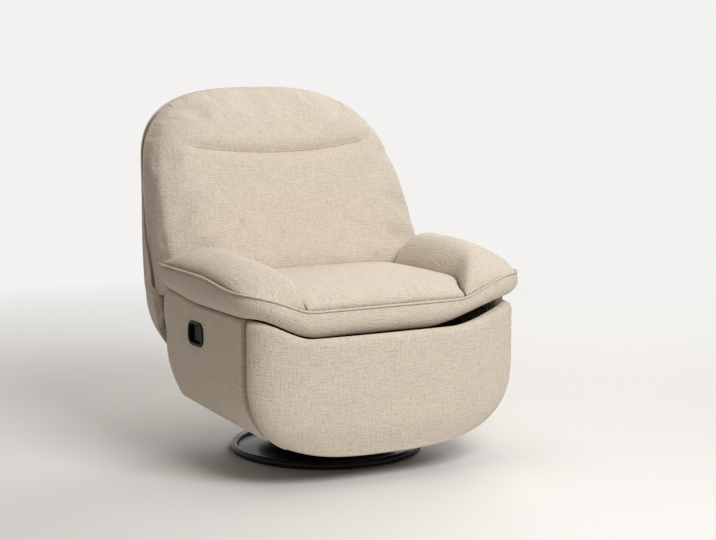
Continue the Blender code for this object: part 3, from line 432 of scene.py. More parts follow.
class Nodes:
    """Short calls for the nodes of one material."""

    def __init__(self, name):
        self.material = bpy.data.materials.new(name)
        self.material.use_nodes = True
        self.tree = self.material.node_tree
        self.shader = self.tree.nodes["Principled BSDF"]

    def add(self, kind, **values):
        node = self.tree.nodes.new(f"ShaderNode{kind}")
        for key, value in values.items():
            setattr(node, key, value)
        return node

    def link(self, source, target):
        self.tree.links.new(source, target)

    def feed(self, socket, value):
        if isinstance(value, bpy.types.NodeSocket):
            self.link(value, socket)
        else:
            socket.default_value = value

    def math(self, operation, first, second=0.0, third=0.0):
        node = self.add("Math", operation=operation)
        for socket, value in zip(node.inputs, (first, second, third)):
            self.feed(socket, value)
        return node.outputs[0]

    def stretch(self, vector, scale):
        node = self.add("Mapping")
        self.link(vector, node.inputs["Vector"])
        node.inputs["Scale"].default_value = scale
        return node.outputs[0]

    def noise(self, vector, scale, detail=2.0, rough=0.5):
        node = self.add("TexNoise")
        self.link(vector, node.inputs["Vector"])
        node.inputs["Scale"].default_value = scale
        node.inputs["Detail"].default_value = detail
        node.inputs["Roughness"].default_value = rough
        return node.outputs["Fac"]

    def mix(self, factor, first, second):
        node = self.add("Mix", data_type="RGBA")
        self.feed(node.inputs["Factor"], factor)
        for socket, value in ((node.inputs[6], first), (node.inputs[7], second)):
            self.feed(socket, (*value, 1.0) if isinstance(value, tuple) else value)
        return node.outputs[2]

    def bump(self, height, strength, distance):
        node = self.add("Bump")
        node.inputs["Strength"].default_value = strength
        node.inputs["Distance"].default_value = distance
        self.link(height, node.inputs["Height"])
        self.link(node.outputs["Normal"], self.shader.inputs["Normal"])

    def set(self, **values):
        for key, value in values.items():
            self.shader.inputs[key.replace("_", " ")].default_value = value

    def spot(self):
        """Place on the object."""
        return self.add("TexCoord").outputs["Object"]

    def colour(self, factor, first, second):
        self.link(self.mix(factor, first, second), self.shader.inputs["Base Color"])

    def roughness(self, grain, least, span):
        self.link(self.math("MULTIPLY_ADD", grain, span, least), self.shader.inputs["Roughness"])

    def fibres(self, scale, first, second):
        """Plain matt cloth of fine fibres."""
        fibre = self.noise(self.spot(), scale, 3.0)
        self.colour(fibre, first, second)
        self.bump(fibre, 0.3, 0.0006)
        self.set(Roughness=0.95)


def made_once(name):
    """Decorates a function that wires a material, so that the material is made once and then found."""

    def decorate(wire):
        def find_or_make():
            found = bpy.data.materials.get(name)
            if found is None:
                made = Nodes(name)
                wire(made)
                found = made.material
            return found

        return find_or_make

    return decorate


def shade(colour, factor):
    return tuple(min(1.0, part * factor) for part in colour)


@made_once("cream_weave")
def woven_fabric(made):
    """Chunky plain weave with slubs, paler on the raised threads, with painted shade in the hollows between
    them.
    """
    thread = made.add("UVMap", uv_map="cloth").outputs["UV"]
    pitch = sizes().thread_pitch
    wander = made.add("TexNoise")
    made.link(thread, wander.inputs["Vector"])
    wander.inputs["Scale"].default_value = 45.0
    wander.inputs["Detail"].default_value = 2.0
    shift = made.add("VectorMath", operation="MULTIPLY_ADD")
    made.link(wander.outputs["Color"], shift.inputs[0])
    shift.inputs[1].default_value = (1.6 * pitch, 1.6 * pitch, 0.0)
    made.link(thread, shift.inputs[2])
    split = made.add("SeparateXYZ")
    made.link(made.stretch(shift.outputs[0], (math.pi / pitch,) * 3), split.inputs[0])
    warp = made.math("ABSOLUTE", made.math("SINE", split.outputs["X"]))
    weft = made.math("ABSOLUTE", made.math("SINE", split.outputs["Y"]))
    over = made.math("MULTIPLY_ADD", made.noise(thread, 0.45 / pitch, 1.0), 6.0, -2.5)
    over = made.math("MINIMUM", made.math("MAXIMUM", over, 0.0), 1.0)
    ridges = made.math("MULTIPLY_ADD", over, made.math("SUBTRACT", warp, weft), weft)
    long_weft = made.noise(made.stretch(thread, (0.14, 1.0, 1.0)), 0.9 / pitch, 1.0)
    long_warp = made.noise(made.stretch(thread, (1.0, 0.14, 1.0)), 0.9 / pitch, 1.0)
    slubs = made.math("MULTIPLY_ADD", made.math("ADD", long_weft, long_warp), 1.4, -0.9)
    nubs = made.noise(thread, 0.75 / pitch, 0.0)
    height = made.math("MULTIPLY_ADD", ridges, 0.34, made.math("MULTIPLY", slubs, 0.36))
    height = made.math("MULTIPLY_ADD", nubs, 0.45, height)
    clouds = made.noise(thread, 9.0, 3.0)
    fabric = tuple(colours().fabric)
    light = made.mix(clouds, shade(fabric, 0.94), shade(fabric, 1.05))
    # Painted shade: the height of the weave mixes the darker hollow colour into the low parts and the paler
    # colour onto the raised threads.
    hollow_shade_share = made.math("MULTIPLY_ADD", height, 1.3, 0.02)
    made.colour(hollow_shade_share, tuple(colours().shaded_fabric_gap), light)
    made.bump(height, 0.8, 0.0034)
    made.set(Roughness=0.95, Sheen_Weight=0.2, Sheen_Roughness=0.5, Specular_IOR_Level=0.2)


def seam_cord(name, colour):
    """Twisted cord with a slanting lay."""
    made = Nodes(name)
    thread = made.add("UVMap", uv_map="cloth").outputs["UV"]
    split = made.add("SeparateXYZ")
    made.link(made.stretch(thread, (1400.0, 700.0, 1.0)), split.inputs[0])
    lay = made.math("ABSOLUTE", made.math("SINE", made.math("ADD", split.outputs["X"], split.outputs["Y"])))
    height = made.math("MULTIPLY_ADD", made.noise(made.spot(), 400.0, 3.0), 0.5, lay)
    made.colour(height, shade(colour, 0.7), shade(colour, 1.15))
    made.bump(height, 0.4, 0.0008)
    made.set(Roughness=0.95)
    return made.material


@made_once("black_paint_finish")
def black_paint(made):
    """Glossy black paint with a fine orange peel and a little dust."""
    spot = made.spot()
    dust = made.noise(spot, 14.0, 5.0, 0.6)
    paint = tuple(colours().paint)
    made.colour(dust, paint, shade(paint, 2.4))
    made.roughness(dust, 0.12, 0.20)
    made.bump(made.noise(spot, 900.0, 1.0), 0.08, 0.0004)
    made.set(Specular_IOR_Level=0.09)


@made_once("moulded_plastic")
def moulded_plastic(made):
    """Black plastic with a fine spark-eroded grain."""
    grain = made.noise(made.spot(), 1800.0, 2.0)
    plastic = tuple(colours().plastic)
    made.colour(grain, shade(plastic, 0.8), shade(plastic, 1.5))
    made.roughness(grain, 0.36, 0.2)
    made.bump(grain, 0.15, 0.0003)
    made.set(Specular_IOR_Level=0.1)


@made_once("zinc_plate")
def zinc_plate(made):
    """Plated steel with a faint crystal bloom."""
    bloom = made.noise(made.spot(), 120.0, 4.0)
    zinc = tuple(colours().zinc)
    made.colour(bloom, shade(zinc, 0.8), shade(zinc, 1.1))
    made.roughness(bloom, 0.22, 0.25)
    made.set(Metallic=1.0)


@made_once("sawn_wood")
def frame_wood(made):
    """Plain sawn softwood with grain along X."""
    grain = made.noise(made.stretch(made.spot(), (3.0, 90.0, 60.0)), 1.0, 4.0)
    wood = tuple(colours().wood)
    made.colour(grain, shade(wood, 0.55), shade(wood, 1.15))
    made.bump(grain, 0.3, 0.0008)
    made.set(Roughness=0.7)


@made_once("lining_and_gap_shade")
def lining_and_gap_shade(made):
    """Thin black non-woven cloth that lines the inside of the frame; on the boards behind the gaps it also
    serves as painted shade there.
    """
    made.fibres(700.0, (0.016, 0.012, 0.009), (0.045, 0.036, 0.028))


@made_once("calico_lining")
def calico(made):
    """Unbleached lining cloth on the boards inside."""
    fabric = tuple(colours().shaded_fabric_gap)
    made.fibres(500.0, shade(fabric, 0.55), shade(fabric, 0.8))


# Piped seam and border. Climbs are given for the left and then for the right side.
WELT_FRONT_Z = 0.4722
WELT_CLIMB = 0.072
WELT_CLIMB_X = ((0.245, 0.45), (0.19, 0.41))
WELT_DIP = 0.019
WELT_DIP_X = 0.30
WELT_DIP_Y = (0.08, 0.33)
WELT_PROUD = 0.001
BAND_BOTTOM_Z = 0.4015
BAND_CLIMB = 0.062
BAND_CLIMB_TILT = 0.004
BAND_CLIMB_X = ((0.225, 0.42), (0.10, 0.40))
BAND_REAR_CLIMB = 0.018
BAND_REAR_Y = (-0.05, 0.18)
BORDER_STEP = 0.011
BORDER_END = 0.035
BORDER_END_LIFT = 0.030
BORDER_PROUD = 0.006
BORDER_TUCK = 0.019
# Inset and share of the height, from the seam down, of the points behind the border.
BORDER_BEHIND = (
    (-0.027, 1.03), (-0.036, 1.02), (-0.042, 0.9), (-0.042, 0.5), (-0.040, 0.1), (-0.03, 0.02),
)
BORDER_THREAD_STEP = 0.007
# Plan of the arms, and what the pillows share.
ARM_LAP = 0.050
ARM_LAP_Y = (0.25, 0.395)
ARM_CORNER_Y = -0.255
ARM_REAR_Y = 0.087
ARM_REAR_SLANT = 0.50
CORNER_ROUNDNESS = 2.8
PILLOW_LIFT = 0.002
PILLOW_GIVE = 0.006
PILLOW_ROUNDNESS = 4.6


def uneven_climb(x, left, right):
    """Climbs from 0 near the middle to 1 on each side, between two distances given for each side."""
    return np.where(x < 0, smooth_step(-x, *left), smooth_step(x, *right))


def welt_height(x, y):
    """Height of the piped seam: low across the seat, climbing round the front of the arms."""
    climb = uneven_climb(x, *WELT_CLIMB_X)
    dip = smooth_step(-y, *WELT_DIP_Y) * smooth_step(np.abs(x), WELT_DIP_X, ARM_HALF_WIDTH)
    return WELT_FRONT_Z + WELT_CLIMB * climb - WELT_DIP * dip


def band_bottom(x, y):
    """Lower edge of the border below the seam."""
    side = uneven_climb(x, *BAND_CLIMB_X)
    climb = (BAND_CLIMB + BAND_CLIMB_TILT * np.sign(x)) * side
    return BAND_BOTTOM_Z + climb + BAND_REAR_CLIMB * side * smooth_step(y, *BAND_REAR_Y)


def arm_lap(x, y):
    """How far the right arm laps over the front corner of the seat."""
    return ARM_LAP * smooth_step(-y, *ARM_LAP_Y) * (x > 0)


def border_half():
    """Right half of the plan of the seam, from the middle of the front to the rear end of the arm."""
    width = ARM_HALF_WIDTH - ARM_INNER_X
    depth = ARM_CORNER_Y - SEAT_FRONT_Y
    half = [(x, SEAT_FRONT_Y) for x in np.linspace(0, ARM_INNER_X, 25, endpoint=False)]
    for turn in np.linspace(0, math.pi / 2, 30, endpoint=False):
        out = math.sin(turn) ** (2 / CORNER_ROUNDNESS)
        ahead = math.cos(turn) ** (2 / CORNER_ROUNDNESS)
        half.append((ARM_INNER_X + width * out, ARM_CORNER_Y - depth * ahead))
    for y in np.linspace(ARM_CORNER_Y, ARM_REAR_Y + ARM_REAR_SLANT * width, 40):
        half.append((ARM_HALF_WIDTH, y))
    half = np.array(half)
    run = run_lengths(half)
    even = np.linspace(0, run[-1], int(run[-1] / BORDER_STEP))
    return np.column_stack([np.interp(even, run, half[:, 0]), np.interp(even, run, half[:, 1])])


def border_line():
    """Plan of the seam from the left rear, round the front, to the right rear, with outward normals."""
    half = border_half()
    line = np.concatenate([(half * (-1, 1))[:0:-1], half])
    along = np.gradient(line, axis=0)
    return line, unit(np.stack([along[:, 1], -along[:, 0]], axis=1))


class RECLINER_OT_border(bpy.types.Operator):
    """Makes the border below the seat and arms and the piped seam along its top"""

    bl_idname = "recliner.border"
    bl_label = "Border and welt"

    def execute(self, context):
        fabric = woven_fabric()
        line, out = border_line()
        welt = welt_height(line[:, 0], line[:, 1])
        bottom = band_bottom(line[:, 0], line[:, 1])
        along = run_lengths(line)
        ends = rise(np.minimum(along, along[-1] - along), BORDER_END, 2.0)
        bottom = bottom + BORDER_END_LIFT * (1 - ends)
        shares = np.linspace(0, 1, 12)
        bulge = BORDER_PROUD * np.sin(math.pi * shares) - BORDER_TUCK * shares ** 3
        inset, drop = np.concatenate([np.column_stack([bulge, shares]), BORDER_BEHIND]).T
        plan = line[:, None] + out[:, None] * inset[:, None]
        height = welt[:, None] + (bottom - welt)[:, None] * drop
        grid = grid_of(plan[..., 0], plan[..., 1], height)
        thread = np.zeros((*grid.shape[:2], 2))
        thread[..., 0] = along[:, None]
        thread[..., 1] = BORDER_THREAD_STEP * np.arange(len(inset))
        border = swept("seat_border", grid, fabric, thread)
        covered = ("seat_cushion", "arm_pad_left", "arm_pad_right")
        place(subdivided(border), "frame", covered)
        seam = np.column_stack([line + out * WELT_PROUD, welt + WELT_PROUD])
        place(piping("border_welt", seam, sizes().welt_radius, fabric), "frame")
        return {"FINISHED"}


# Seat pillow, and the lining stretched behind the mechanism.
SEAT_NOSE_Y = -0.15
SEAT_NOSE_ROUNDNESS = 3.0
SEAT_REAR_REACH = 0.012
SEAT_REAR_ROUND = 0.03
SEAT_REAR_SAG = 0.20
SEAT_UNDER_SIDE = 0.004
SEAT_UNDER_FRONT = 0.045
SEAT_UNDER_REAR = 0.01
SEAT_UNDER_LIFT = 0.006
DECK_REAR_Y = 0.155
DECK_BEND = 0.020
DECK_FOOT_Z = 0.270
DECK_SLANT = 0.006
DECK_SIDE_GAP = 0.008
DECK_THICKNESS = 0.002
DECK_REST = 0.0026


class RECLINER_OT_seat(bpy.types.Operator):
    """Makes the crowned seat pillow and the dark lining behind the mechanism"""

    bl_idname = "recliner.seat"
    bl_label = "Seat pillow"

    crown_z: metres("Crown", "Height of the middle of the seat", 0.531, 0.50, 0.56)

    def execute(self, context):
        across = eased(57) * SEAT_HALF_WIDTH
        rear_y = SEAT_REAR_Y + SEAT_REAR_REACH
        along = (rear_y + SEAT_FRONT_Y) / 2 + eased(55) * (SEAT_FRONT_Y - rear_y) / 2
        y, x = np.meshgrid(along, across, indexing="ij")
        x = x * (1 - arm_lap(x, y) / SEAT_HALF_WIDTH)
        edge = welt_height(x, y) + PILLOW_LIFT
        nose = superellipse(share_of(y, SEAT_NOSE_Y, SEAT_FRONT_Y), SEAT_NOSE_ROUNDNESS)
        rear = 1 - SEAT_REAR_SAG * share_of(y, SEAT_NOSE_Y, rear_y) ** 2
        crown = nose * rear * rise(rear_y - y, SEAT_REAR_ROUND)
        crown = crown * superellipse(across / SEAT_HALF_WIDTH, PILLOW_ROUNDNESS)
        front = grid_of(x, y, edge + (self.crown_z - edge) * crown)
        under_x = x * (1 - SEAT_UNDER_SIDE / SEAT_HALF_WIDTH)
        under_y = np.clip(y, SEAT_FRONT_Y + SEAT_UNDER_FRONT, rear_y + SEAT_UNDER_REAR)
        back = grid_of(under_x, under_y, BAND_FRONT_Z + SEAT_UNDER_LIFT)
        seat = sewn_pad("seat_pillow", front, back, woven_fabric())
        inflate(seat, front, PILLOW_GIVE)
        place(subdivided(seat), "frame", ("seat_cushion",))
        self.stretch_deck()
        return {"FINISHED"}

    def stretch_deck(self):
        """Stretches a dark cloth from the rear rail back and down behind the mechanism."""
        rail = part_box("seat_rail_rear")
        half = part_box("side_board_right")[0].x - DECK_SIDE_GAP
        bend_y = DECK_REAR_Y - DECK_BEND
        top_z = rail[1].z + DECK_REST
        low_z = top_z - DECK_BEND
        line = [(y, top_z) for y in np.linspace(rail[0].y - SWIVEL_Y, bend_y, 14)]
        for turn in np.linspace(0, math.pi / 2, 8)[1:]:
            line.append((bend_y + DECK_BEND * math.sin(turn), top_z - DECK_BEND * (1 - math.cos(turn))))
        for share in np.linspace(0, 1, 14)[1:]:
            line.append((DECK_REAR_Y - DECK_SLANT * share, low_z + (DECK_FOOT_Z - low_z) * share))
        line = np.array(line)
        along = unit(np.gradient(line, axis=0))
        other = line - DECK_THICKNESS * np.stack([-along[:, 1], along[:, 0]], axis=1)
        across = np.linspace(-half, half, 45)
        sheets = [grid_of(across, rows[:, [0]], rows[:, [1]]) for rows in (line, other)]
        deck = sewn_pad("deck_lining", *sheets, lining_and_gap_shade())
        place(deck, "frame")


# Arm pillows.
ARM_ROW_EASE = 1.6
ARM_SEAM_INSET = 0.003
ARM_ROUND = 0.13
ARM_EDGE_ROUND = 0.10
ARM_INNER_STEEPER = 0.062
ARM_STEEP_Y = (0.16, 0.34)
ARM_FRONT_STEEPER = 0.070
ARM_SLOPE_Y = -0.08
ARM_SLOPE_DROP = 0.066
ARM_UNDER_INSET = 0.05
ARM_UNDER_GAP = 0.004
ARM_UNDER_REAR_ROWS = 3
ARM_UNDER_LIFT = 0.01
ARM_UNDER_Z = 0.445


class RECLINER_OT_arms(bpy.types.Operator):
    """Makes the two pillow arms"""

    bl_idname = "recliner.arms"
    bl_label = "Arm pillows"

    crown_z: metres("Crown", "Greatest height of the arms", 0.610, 0.56, 0.65)

    def execute(self, context):
        width = ARM_HALF_WIDTH - ARM_INNER_X - ARM_SEAM_INSET
        depth = ARM_CORNER_Y - SEAT_FRONT_Y - ARM_SEAM_INSET
        power = CORNER_ROUNDNESS
        straight = np.linspace(0, 1, 46)[:-1] ** ARM_ROW_EASE
        across, along = np.meshgrid(eased_share(27), np.concatenate([straight - 1, quarter_turn(20)]))
        drawn = round_off(across, along, power)
        x = width * across * drawn
        rear_y = ARM_REAR_Y + ARM_REAR_SLANT * x
        reach = along * np.where(along > 0, depth * drawn, rear_y - ARM_CORNER_Y)
        y = ARM_CORNER_Y - reach
        outer = np.maximum(width * superellipse(np.maximum(reach, 0) / depth, power) - x, 0)
        front_gap = np.maximum(depth * superellipse(x / width, power) - reach, 0)
        inner_round = ARM_EDGE_ROUND - ARM_INNER_STEEPER * smooth_step(-y, *ARM_STEEP_Y)
        front_round = ARM_EDGE_ROUND - ARM_FRONT_STEEPER * (1 - x / width)
        swell = rise(outer, ARM_ROUND, 2.0) * rise(x, inner_round, 2.0)
        swell *= rise(front_gap, front_round, 2.1) * rise(rear_y - y, ARM_ROUND, 2.0)
        crown = self.crown_z - ARM_SLOPE_DROP * share_of(y, ARM_SLOPE_Y, SEAT_FRONT_Y) ** 2
        for name, sign in SIDES:
            lapped = sign * (ARM_INNER_X + x - arm_lap(sign, y) * (1 - across) ** 2)
            edge = welt_height(lapped, y) + PILLOW_LIFT
            front = grid_of(lapped, y, edge + np.maximum(crown - edge, 0.0) * swell)
            under_x = sign * (ARM_INNER_X + ARM_UNDER_GAP + x * (1 - ARM_UNDER_INSET / width))
            under_y = np.maximum(y, SEAT_FRONT_Y + ARM_UNDER_INSET)
            under_y[:ARM_UNDER_REAR_ROWS] -= ARM_UNDER_GAP
            under_z = np.maximum(band_bottom(under_x, under_y) + ARM_UNDER_LIFT, ARM_UNDER_Z)
            back = grid_of(under_x, under_y, under_z)
            arm = sewn_pad(f"arm_pillow_{name}", front, back, woven_fabric())
            inflate(arm, front, PILLOW_GIVE)
            place(subdivided(arm), "frame", (f"arm_pad_{name}",))
        return {"FINISHED"}


# Outline of the back.
BACK_HALF_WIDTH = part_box("outside_back")[1].x
BACK_TOP_Z = 1.020
BACK_SHOULDER_Z = 0.80
BACK_CUSHION_BOTTOM_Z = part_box("back_cushion")[0].z
BACK_REAR_Y = 0.287
BACK_LEAN = 0.45
BACK_BEND_Z = 0.50
BACK_BEND_SOFTNESS = 0.12
BACK_SHELL_DEPTH = 0.045
BACK_TAPER = 0.17
BACK_TAIL_TAPER = 0.083
BACK_ARCH_POWER = 3
BACK_ROUND_Z = 0.85
BACK_ROUNDNESS = 2.6
BACK_LEAST_DEPTH = 0.0005
# Pillow in front of the seam of the back. A pair of pairs is a smooth rise and a smooth fall.
CUSHION_DEPTH = 0.150
CUSHION_LEAST = 0.030
CUSHION_BACKING = 0.0002
CUSHION_GIVE = 0.004
CUSHION_FOOT = 0.07
CUSHION_BULGE = 0.78
CUSHION_BULGE_Z = ((0.45, 0.60), (0.72, 1.02))
# Shell behind the seam: full low down, cut in beside the hinges, filled out inside.
SHELL_GAP = 0.013
SHELL_THINNER = 0.008
SHELL_FOOT = 0.03
SHELL_ROUNDNESS = 5.0
SHELL_FULL_Z = ((0.24, 0.41), (0.46, 0.80))
SHELL_FULL_WIDTH = 0.035
SHELL_FULL_DEPTH = 0.030
SHELL_HINGE_Z = ((0.330, 0.400), (0.440, 0.475))
SHELL_HINGE_X = (0.380, 0.400)
SHELL_HINGE_DEPTH = 0.037
SHELL_HINGE_ROUNDNESS = 12
SHELL_FILL_Z = ((0.285, 0.37), (0.415, 0.450))
SHELL_FILL_X = (0.315, 0.350)
SHELL_FILL_DEPTH = 0.062
# Crease below the head rest, its thread, the cord in the seam and the stitched hem.
CREASE_Z = 0.838
CREASE_RISE = 0.030
CREASE_HALF_WIDTH = 0.312
CREASE_FADE = (0.80, 1.08)
CREASE_VALLEY = 0.016
CREASE_CUT = 0.005
CREASE_CUT_SHARE = 0.55
CREASE_ROLL = 0.40
CREASE_ROLL_ABOVE = 0.040
CREASE_ROLL_WIDTH = 0.026
THREAD_RADIUS = 0.0012
THREAD_SHARE = 0.98
THREAD_SINK = 0.0004
THREAD_END_SINK = 0.003
THREAD_END = (0.85, 1)
SEAM_RADIUS = 0.0062
SEAM_FOOT = 0.02
SEAM_INSET = 0.003
SEAM_BEHIND = 0.0065
SEAM_TOP_DROP = 0.011
SEAM_TOP_Z = (0.90, 1.0)
HEM_HEIGHT = 0.034
HEM_SHARE = 0.93
STITCH_RADIUS = 0.0008
STITCH_STEP = 0.0105
STITCH_ALONG = (0, 0.0018, 0.0036, 0.0054, 0.0072)
STITCH_OUT = (-0.0009, 0.0003, 0.0006, 0.0003, -0.0009)
STITCH_SIDES = 6


def back_seam_y(z):
    """Plane of the seam round the back: upright below its bend and leaning above."""
    above = z - BACK_BEND_Z
    return BACK_REAR_Y - BACK_SHELL_DEPTH + BACK_LEAN * (np.hypot(above, BACK_BEND_SOFTNESS) + above) / 2


def back_straight_width(z):
    above = np.maximum(0, z - BACK_BEND_Z) / (BACK_TOP_Z - BACK_BEND_Z)
    below = np.maximum(0, BACK_CUSHION_BOTTOM_Z - z) / (BACK_CUSHION_BOTTOM_Z - BACK_TAIL_Z)
    return BACK_HALF_WIDTH * (1 - BACK_TAPER * above ** 2) - BACK_TAIL_TAPER * below ** 2


def back_plan(low, rows, columns, top_rows, inset=0.0):
    """Grid of x and z over the outline of the back: straight rows below the shoulder, an arch above."""
    side = eased(columns, 0.9)
    down = np.linspace(-1, 0, rows)[:-1]
    across, up = np.meshgrid(side, np.concatenate([down, quarter_turn(top_rows)]))
    arch = round_off(across, up, BACK_ARCH_POWER)
    tall = BACK_TOP_Z - inset - BACK_SHOULDER_Z
    z = BACK_SHOULDER_Z + up * np.where(up > 0, arch * tall, BACK_SHOULDER_Z - low)
    x = across * arch * (back_straight_width(z) - inset)
    return x, z


def arch_half_width(z):
    return back_straight_width(z) * superellipse(share_of(z, BACK_SHOULDER_Z, BACK_TOP_Z), BACK_ARCH_POWER)


def back_share(x, z):
    """Distance from the middle of the back as a share of its half width."""
    return np.minimum(np.abs(x) / np.maximum(arch_half_width(z), 1e-6), 1)


def back_top_round(z):
    """Thins the back towards its upper edge."""
    return superellipse(share_of(z, BACK_ROUND_Z, BACK_TOP_Z), BACK_ROUNDNESS)


def crease_height(x):
    return CREASE_Z + CREASE_RISE * (x / CREASE_HALF_WIDTH) ** 2


class RECLINER_OT_back(bpy.types.Operator):
    """Makes the back pillow with its sewn crease, and the padded shell behind it"""

    bl_idname = "recliner.back"
    bl_label = "Back pillow and shell"

    def execute(self, context):
        self.make_pillow()
        self.make_shell()
        return {"FINISHED"}

    def make_pillow(self):
        """Makes the pillow in front of the seam, with its crease and its cords."""
        x, z = back_plan(BACK_CUSHION_BOTTOM_Z, 44, 75, 48)
        foot = rise(z - BACK_CUSHION_BOTTOM_Z, CUSHION_FOOT)
        profile = superellipse(back_share(x, z), PILLOW_ROUNDNESS)
        depth = CUSHION_DEPTH * (1 - (z - BACK_BEND_Z)) * foot + CUSHION_LEAST
        depth = depth * back_top_round(z) * profile
        x = x * (1 + CUSHION_BULGE * profile ** 4 * (1 - profile) * plateau(z, *CUSHION_BULGE_Z))
        rim = rim_of(x)
        seam = back_seam_y(z)
        front = grid_of(x, seam - np.where(rim, 0, np.maximum(depth, BACK_LEAST_DEPTH)), z)
        front[0, :, 1] = seam[0] - depth[0]
        back = grid_of(x, seam - CUSHION_BACKING, z)
        back[rim] = front[rim]
        pillow = sewn_pad("back_pillow", front, back, woven_fabric())
        inflate(pillow, front, CUSHION_GIVE)
        self.press_crease(pillow, x.size)
        place(subdivided(pillow), "back", ("back_cushion",))
        self.sew_cords(pillow)

    def make_shell(self):
        """Makes the padded shell behind the seam."""
        x, z = back_plan(BACK_TAIL_Z, 64, 61, 22)
        share = back_share(x, z)
        full = plateau(z, *SHELL_FULL_Z)
        x = x * (1 + SHELL_FULL_WIDTH * full)
        hinge = SHELL_HINGE_DEPTH * plateau(z, *SHELL_HINGE_Z) * smooth_step(np.abs(x), *SHELL_HINGE_X)
        seam = back_seam_y(z) + SHELL_GAP - hinge
        depth = BACK_SHELL_DEPTH - SHELL_THINNER + SHELL_FULL_DEPTH * full
        depth = depth * back_top_round(z) * rise(z - BACK_TAIL_Z, SHELL_FOOT)
        depth = depth * superellipse(share, SHELL_ROUNDNESS)
        depth = depth + hinge * superellipse(share, SHELL_HINGE_ROUNDNESS)
        fill = SHELL_FILL_DEPTH * plateau(z, *SHELL_FILL_Z) * (1 - smooth_step(np.abs(x), *SHELL_FILL_X))
        rim = rim_of(x)
        rear = grid_of(x, seam + np.where(rim, 0, np.maximum(depth, BACK_LEAST_DEPTH)), z)
        inside = grid_of(x, seam - np.where(rim, 0, fill), z)
        shell = sewn_pad("back_shell", rear, inside, woven_fabric())
        place(subdivided(shell), "back", ("outside_back",))
        self.stitch_hem(shell)

    def press_crease(self, pillow, count):
        """Sews the crease below the head rest into the front of the stuffed pillow."""
        points = np.array([vert.co for vert in pillow.data.vertices])
        x, z = points[:count, 0], points[:count, 2]
        away = z - crease_height(x)
        fade = 1 - smooth_step(np.abs(x) / CREASE_HALF_WIDTH, *CREASE_FADE)
        valley = np.exp(-(away / CREASE_VALLEY) ** 2)
        cut = np.exp(-np.abs(away) / CREASE_CUT)
        roll = np.exp(-((away - CREASE_ROLL_ABOVE) / CREASE_ROLL_WIDTH) ** 2)
        groove = valley + CREASE_CUT_SHARE * (cut - valley) - CREASE_ROLL * roll
        points[:count, 1] += sizes().crease_depth * fade * groove
        pillow.data.vertices.foreach_set("co", points.ravel())
        pillow.data.update()

    def sew_cords(self, pillow):
        """Lays a thread in the crease and a dark cord in the seam round the pillow; the thread's darker colour
        is painted shade of the fold, and the cord is painted shadow in the gap of the seam.
        """
        x = np.linspace(-THREAD_SHARE, THREAD_SHARE, 90) * CREASE_HALF_WIDTH
        line = points_on(surface_of(pillow), zip(x, crease_height(x)), -1.0, 1.0)
        ends = smooth_step(np.abs(line[:, 0]) / CREASE_HALF_WIDTH, *THREAD_END)
        line[:, 1] += THREAD_SINK + THREAD_END_SINK * ends
        # Painted shade: the crease thread is darker than the cloth, drawing the shadowed fold along the crease.
        # The hem stitches reuse this thread colour.
        thread = seam_cord("thread_and_crease_shade_finish", shade(tuple(colours().shaded_fabric_gap), 0.80))
        place(piping("crease_thread", line, THREAD_RADIUS, thread, 6), "back")
        x, z = back_plan(BACK_CUSHION_BOTTOM_Z + SEAM_FOOT, 40, 75, 30, SEAM_INSET)
        x = np.concatenate([x[:-1, 0], x[-1], x[-2::-1, -1]])
        z = np.concatenate([z[:-1, 0], z[-1], z[-2::-1, -1]])
        drop = SEAM_TOP_DROP * smooth_step(z, *SEAM_TOP_Z)
        line = np.column_stack([x, back_seam_y(z) + SEAM_BEHIND, z - drop])
        # Painted shadow: the dark cord stands in for the shaded gap between the back pillow and the shell.
        cord = seam_cord("back_seam_shadow_finish", tuple(colours().seam))
        place(piping("back_seam", line, SEAM_RADIUS, cord), "back")

    def stitch_hem(self, shell):
        """Sews the hem at the foot of the shell with a row of short stitches."""
        z = BACK_TAIL_Z + HEM_HEIGHT
        surface = surface_of(shell)
        half = HEM_SHARE * float(arch_half_width(np.array(z)))
        number = np.arange(len(STITCH_ALONG) * STITCH_SIDES).reshape(-1, STITCH_SIDES)
        verts = []
        faces = []
        for start in np.arange(-half, half, STITCH_STEP):
            line = points_on(surface, [(start + step, z) for step in STITCH_ALONG], 1.0, -1.0)
            line[:, 1] += STITCH_OUT
            faces += tube_faces(len(verts) + number)
            verts += cord_rings(line, STITCH_RADIUS, STITCH_SIDES).reshape(-1, 3).tolist()
        thread = [(x, y) for x, y, z in verts]
        finish = bpy.data.materials["thread_and_crease_shade_finish"]
        place(new_object("hem_stitches", verts, faces, finish, thread), "back")


# Tub: side panels with rolled front, rear, lower and upper edges, and the opening for the handle.
TUB_SHOULDER_Z = 0.30
TUB_BOTTOM_Z = 0.066
TUB_ROUNDNESS_LEFT = 3.0
TUB_ROUNDNESS_RIGHT = 2.4
SIDE_THICKNESS = 0.030
SIDE_PADDING = 0.029
SIDE_ROLLS = (0.25, 1, 0.7, 0.8)
SIDE_FRONT_Y = -0.297
SIDE_FRONT_FOOT = 0.033
SIDE_FRONT_FOOT_Z = (0.125, 0.290)
SIDE_REAR_Y = 0.200
SIDE_REAR_FOOT = 0.055
SIDE_REAR_FOOT_RUN = (0, 0.45)
SIDE_REAR_BULGE = 0.018
SIDE_REAR_BULGE_RUN = (0.56, 0.76)
SIDE_REAR_TOP = 0.030
SIDE_REAR_TOP_RUN = (0.88, 1)
SIDE_FOOT_Z = 0.172
SIDE_FOOT_DROP = 0.03978
SIDE_TOP_GAP = 0.006
OPENING_INSET = 0.005
OPENING_REACH = 0.05
OPENING_POINTS = 48
OPENING_POWER = 0.6
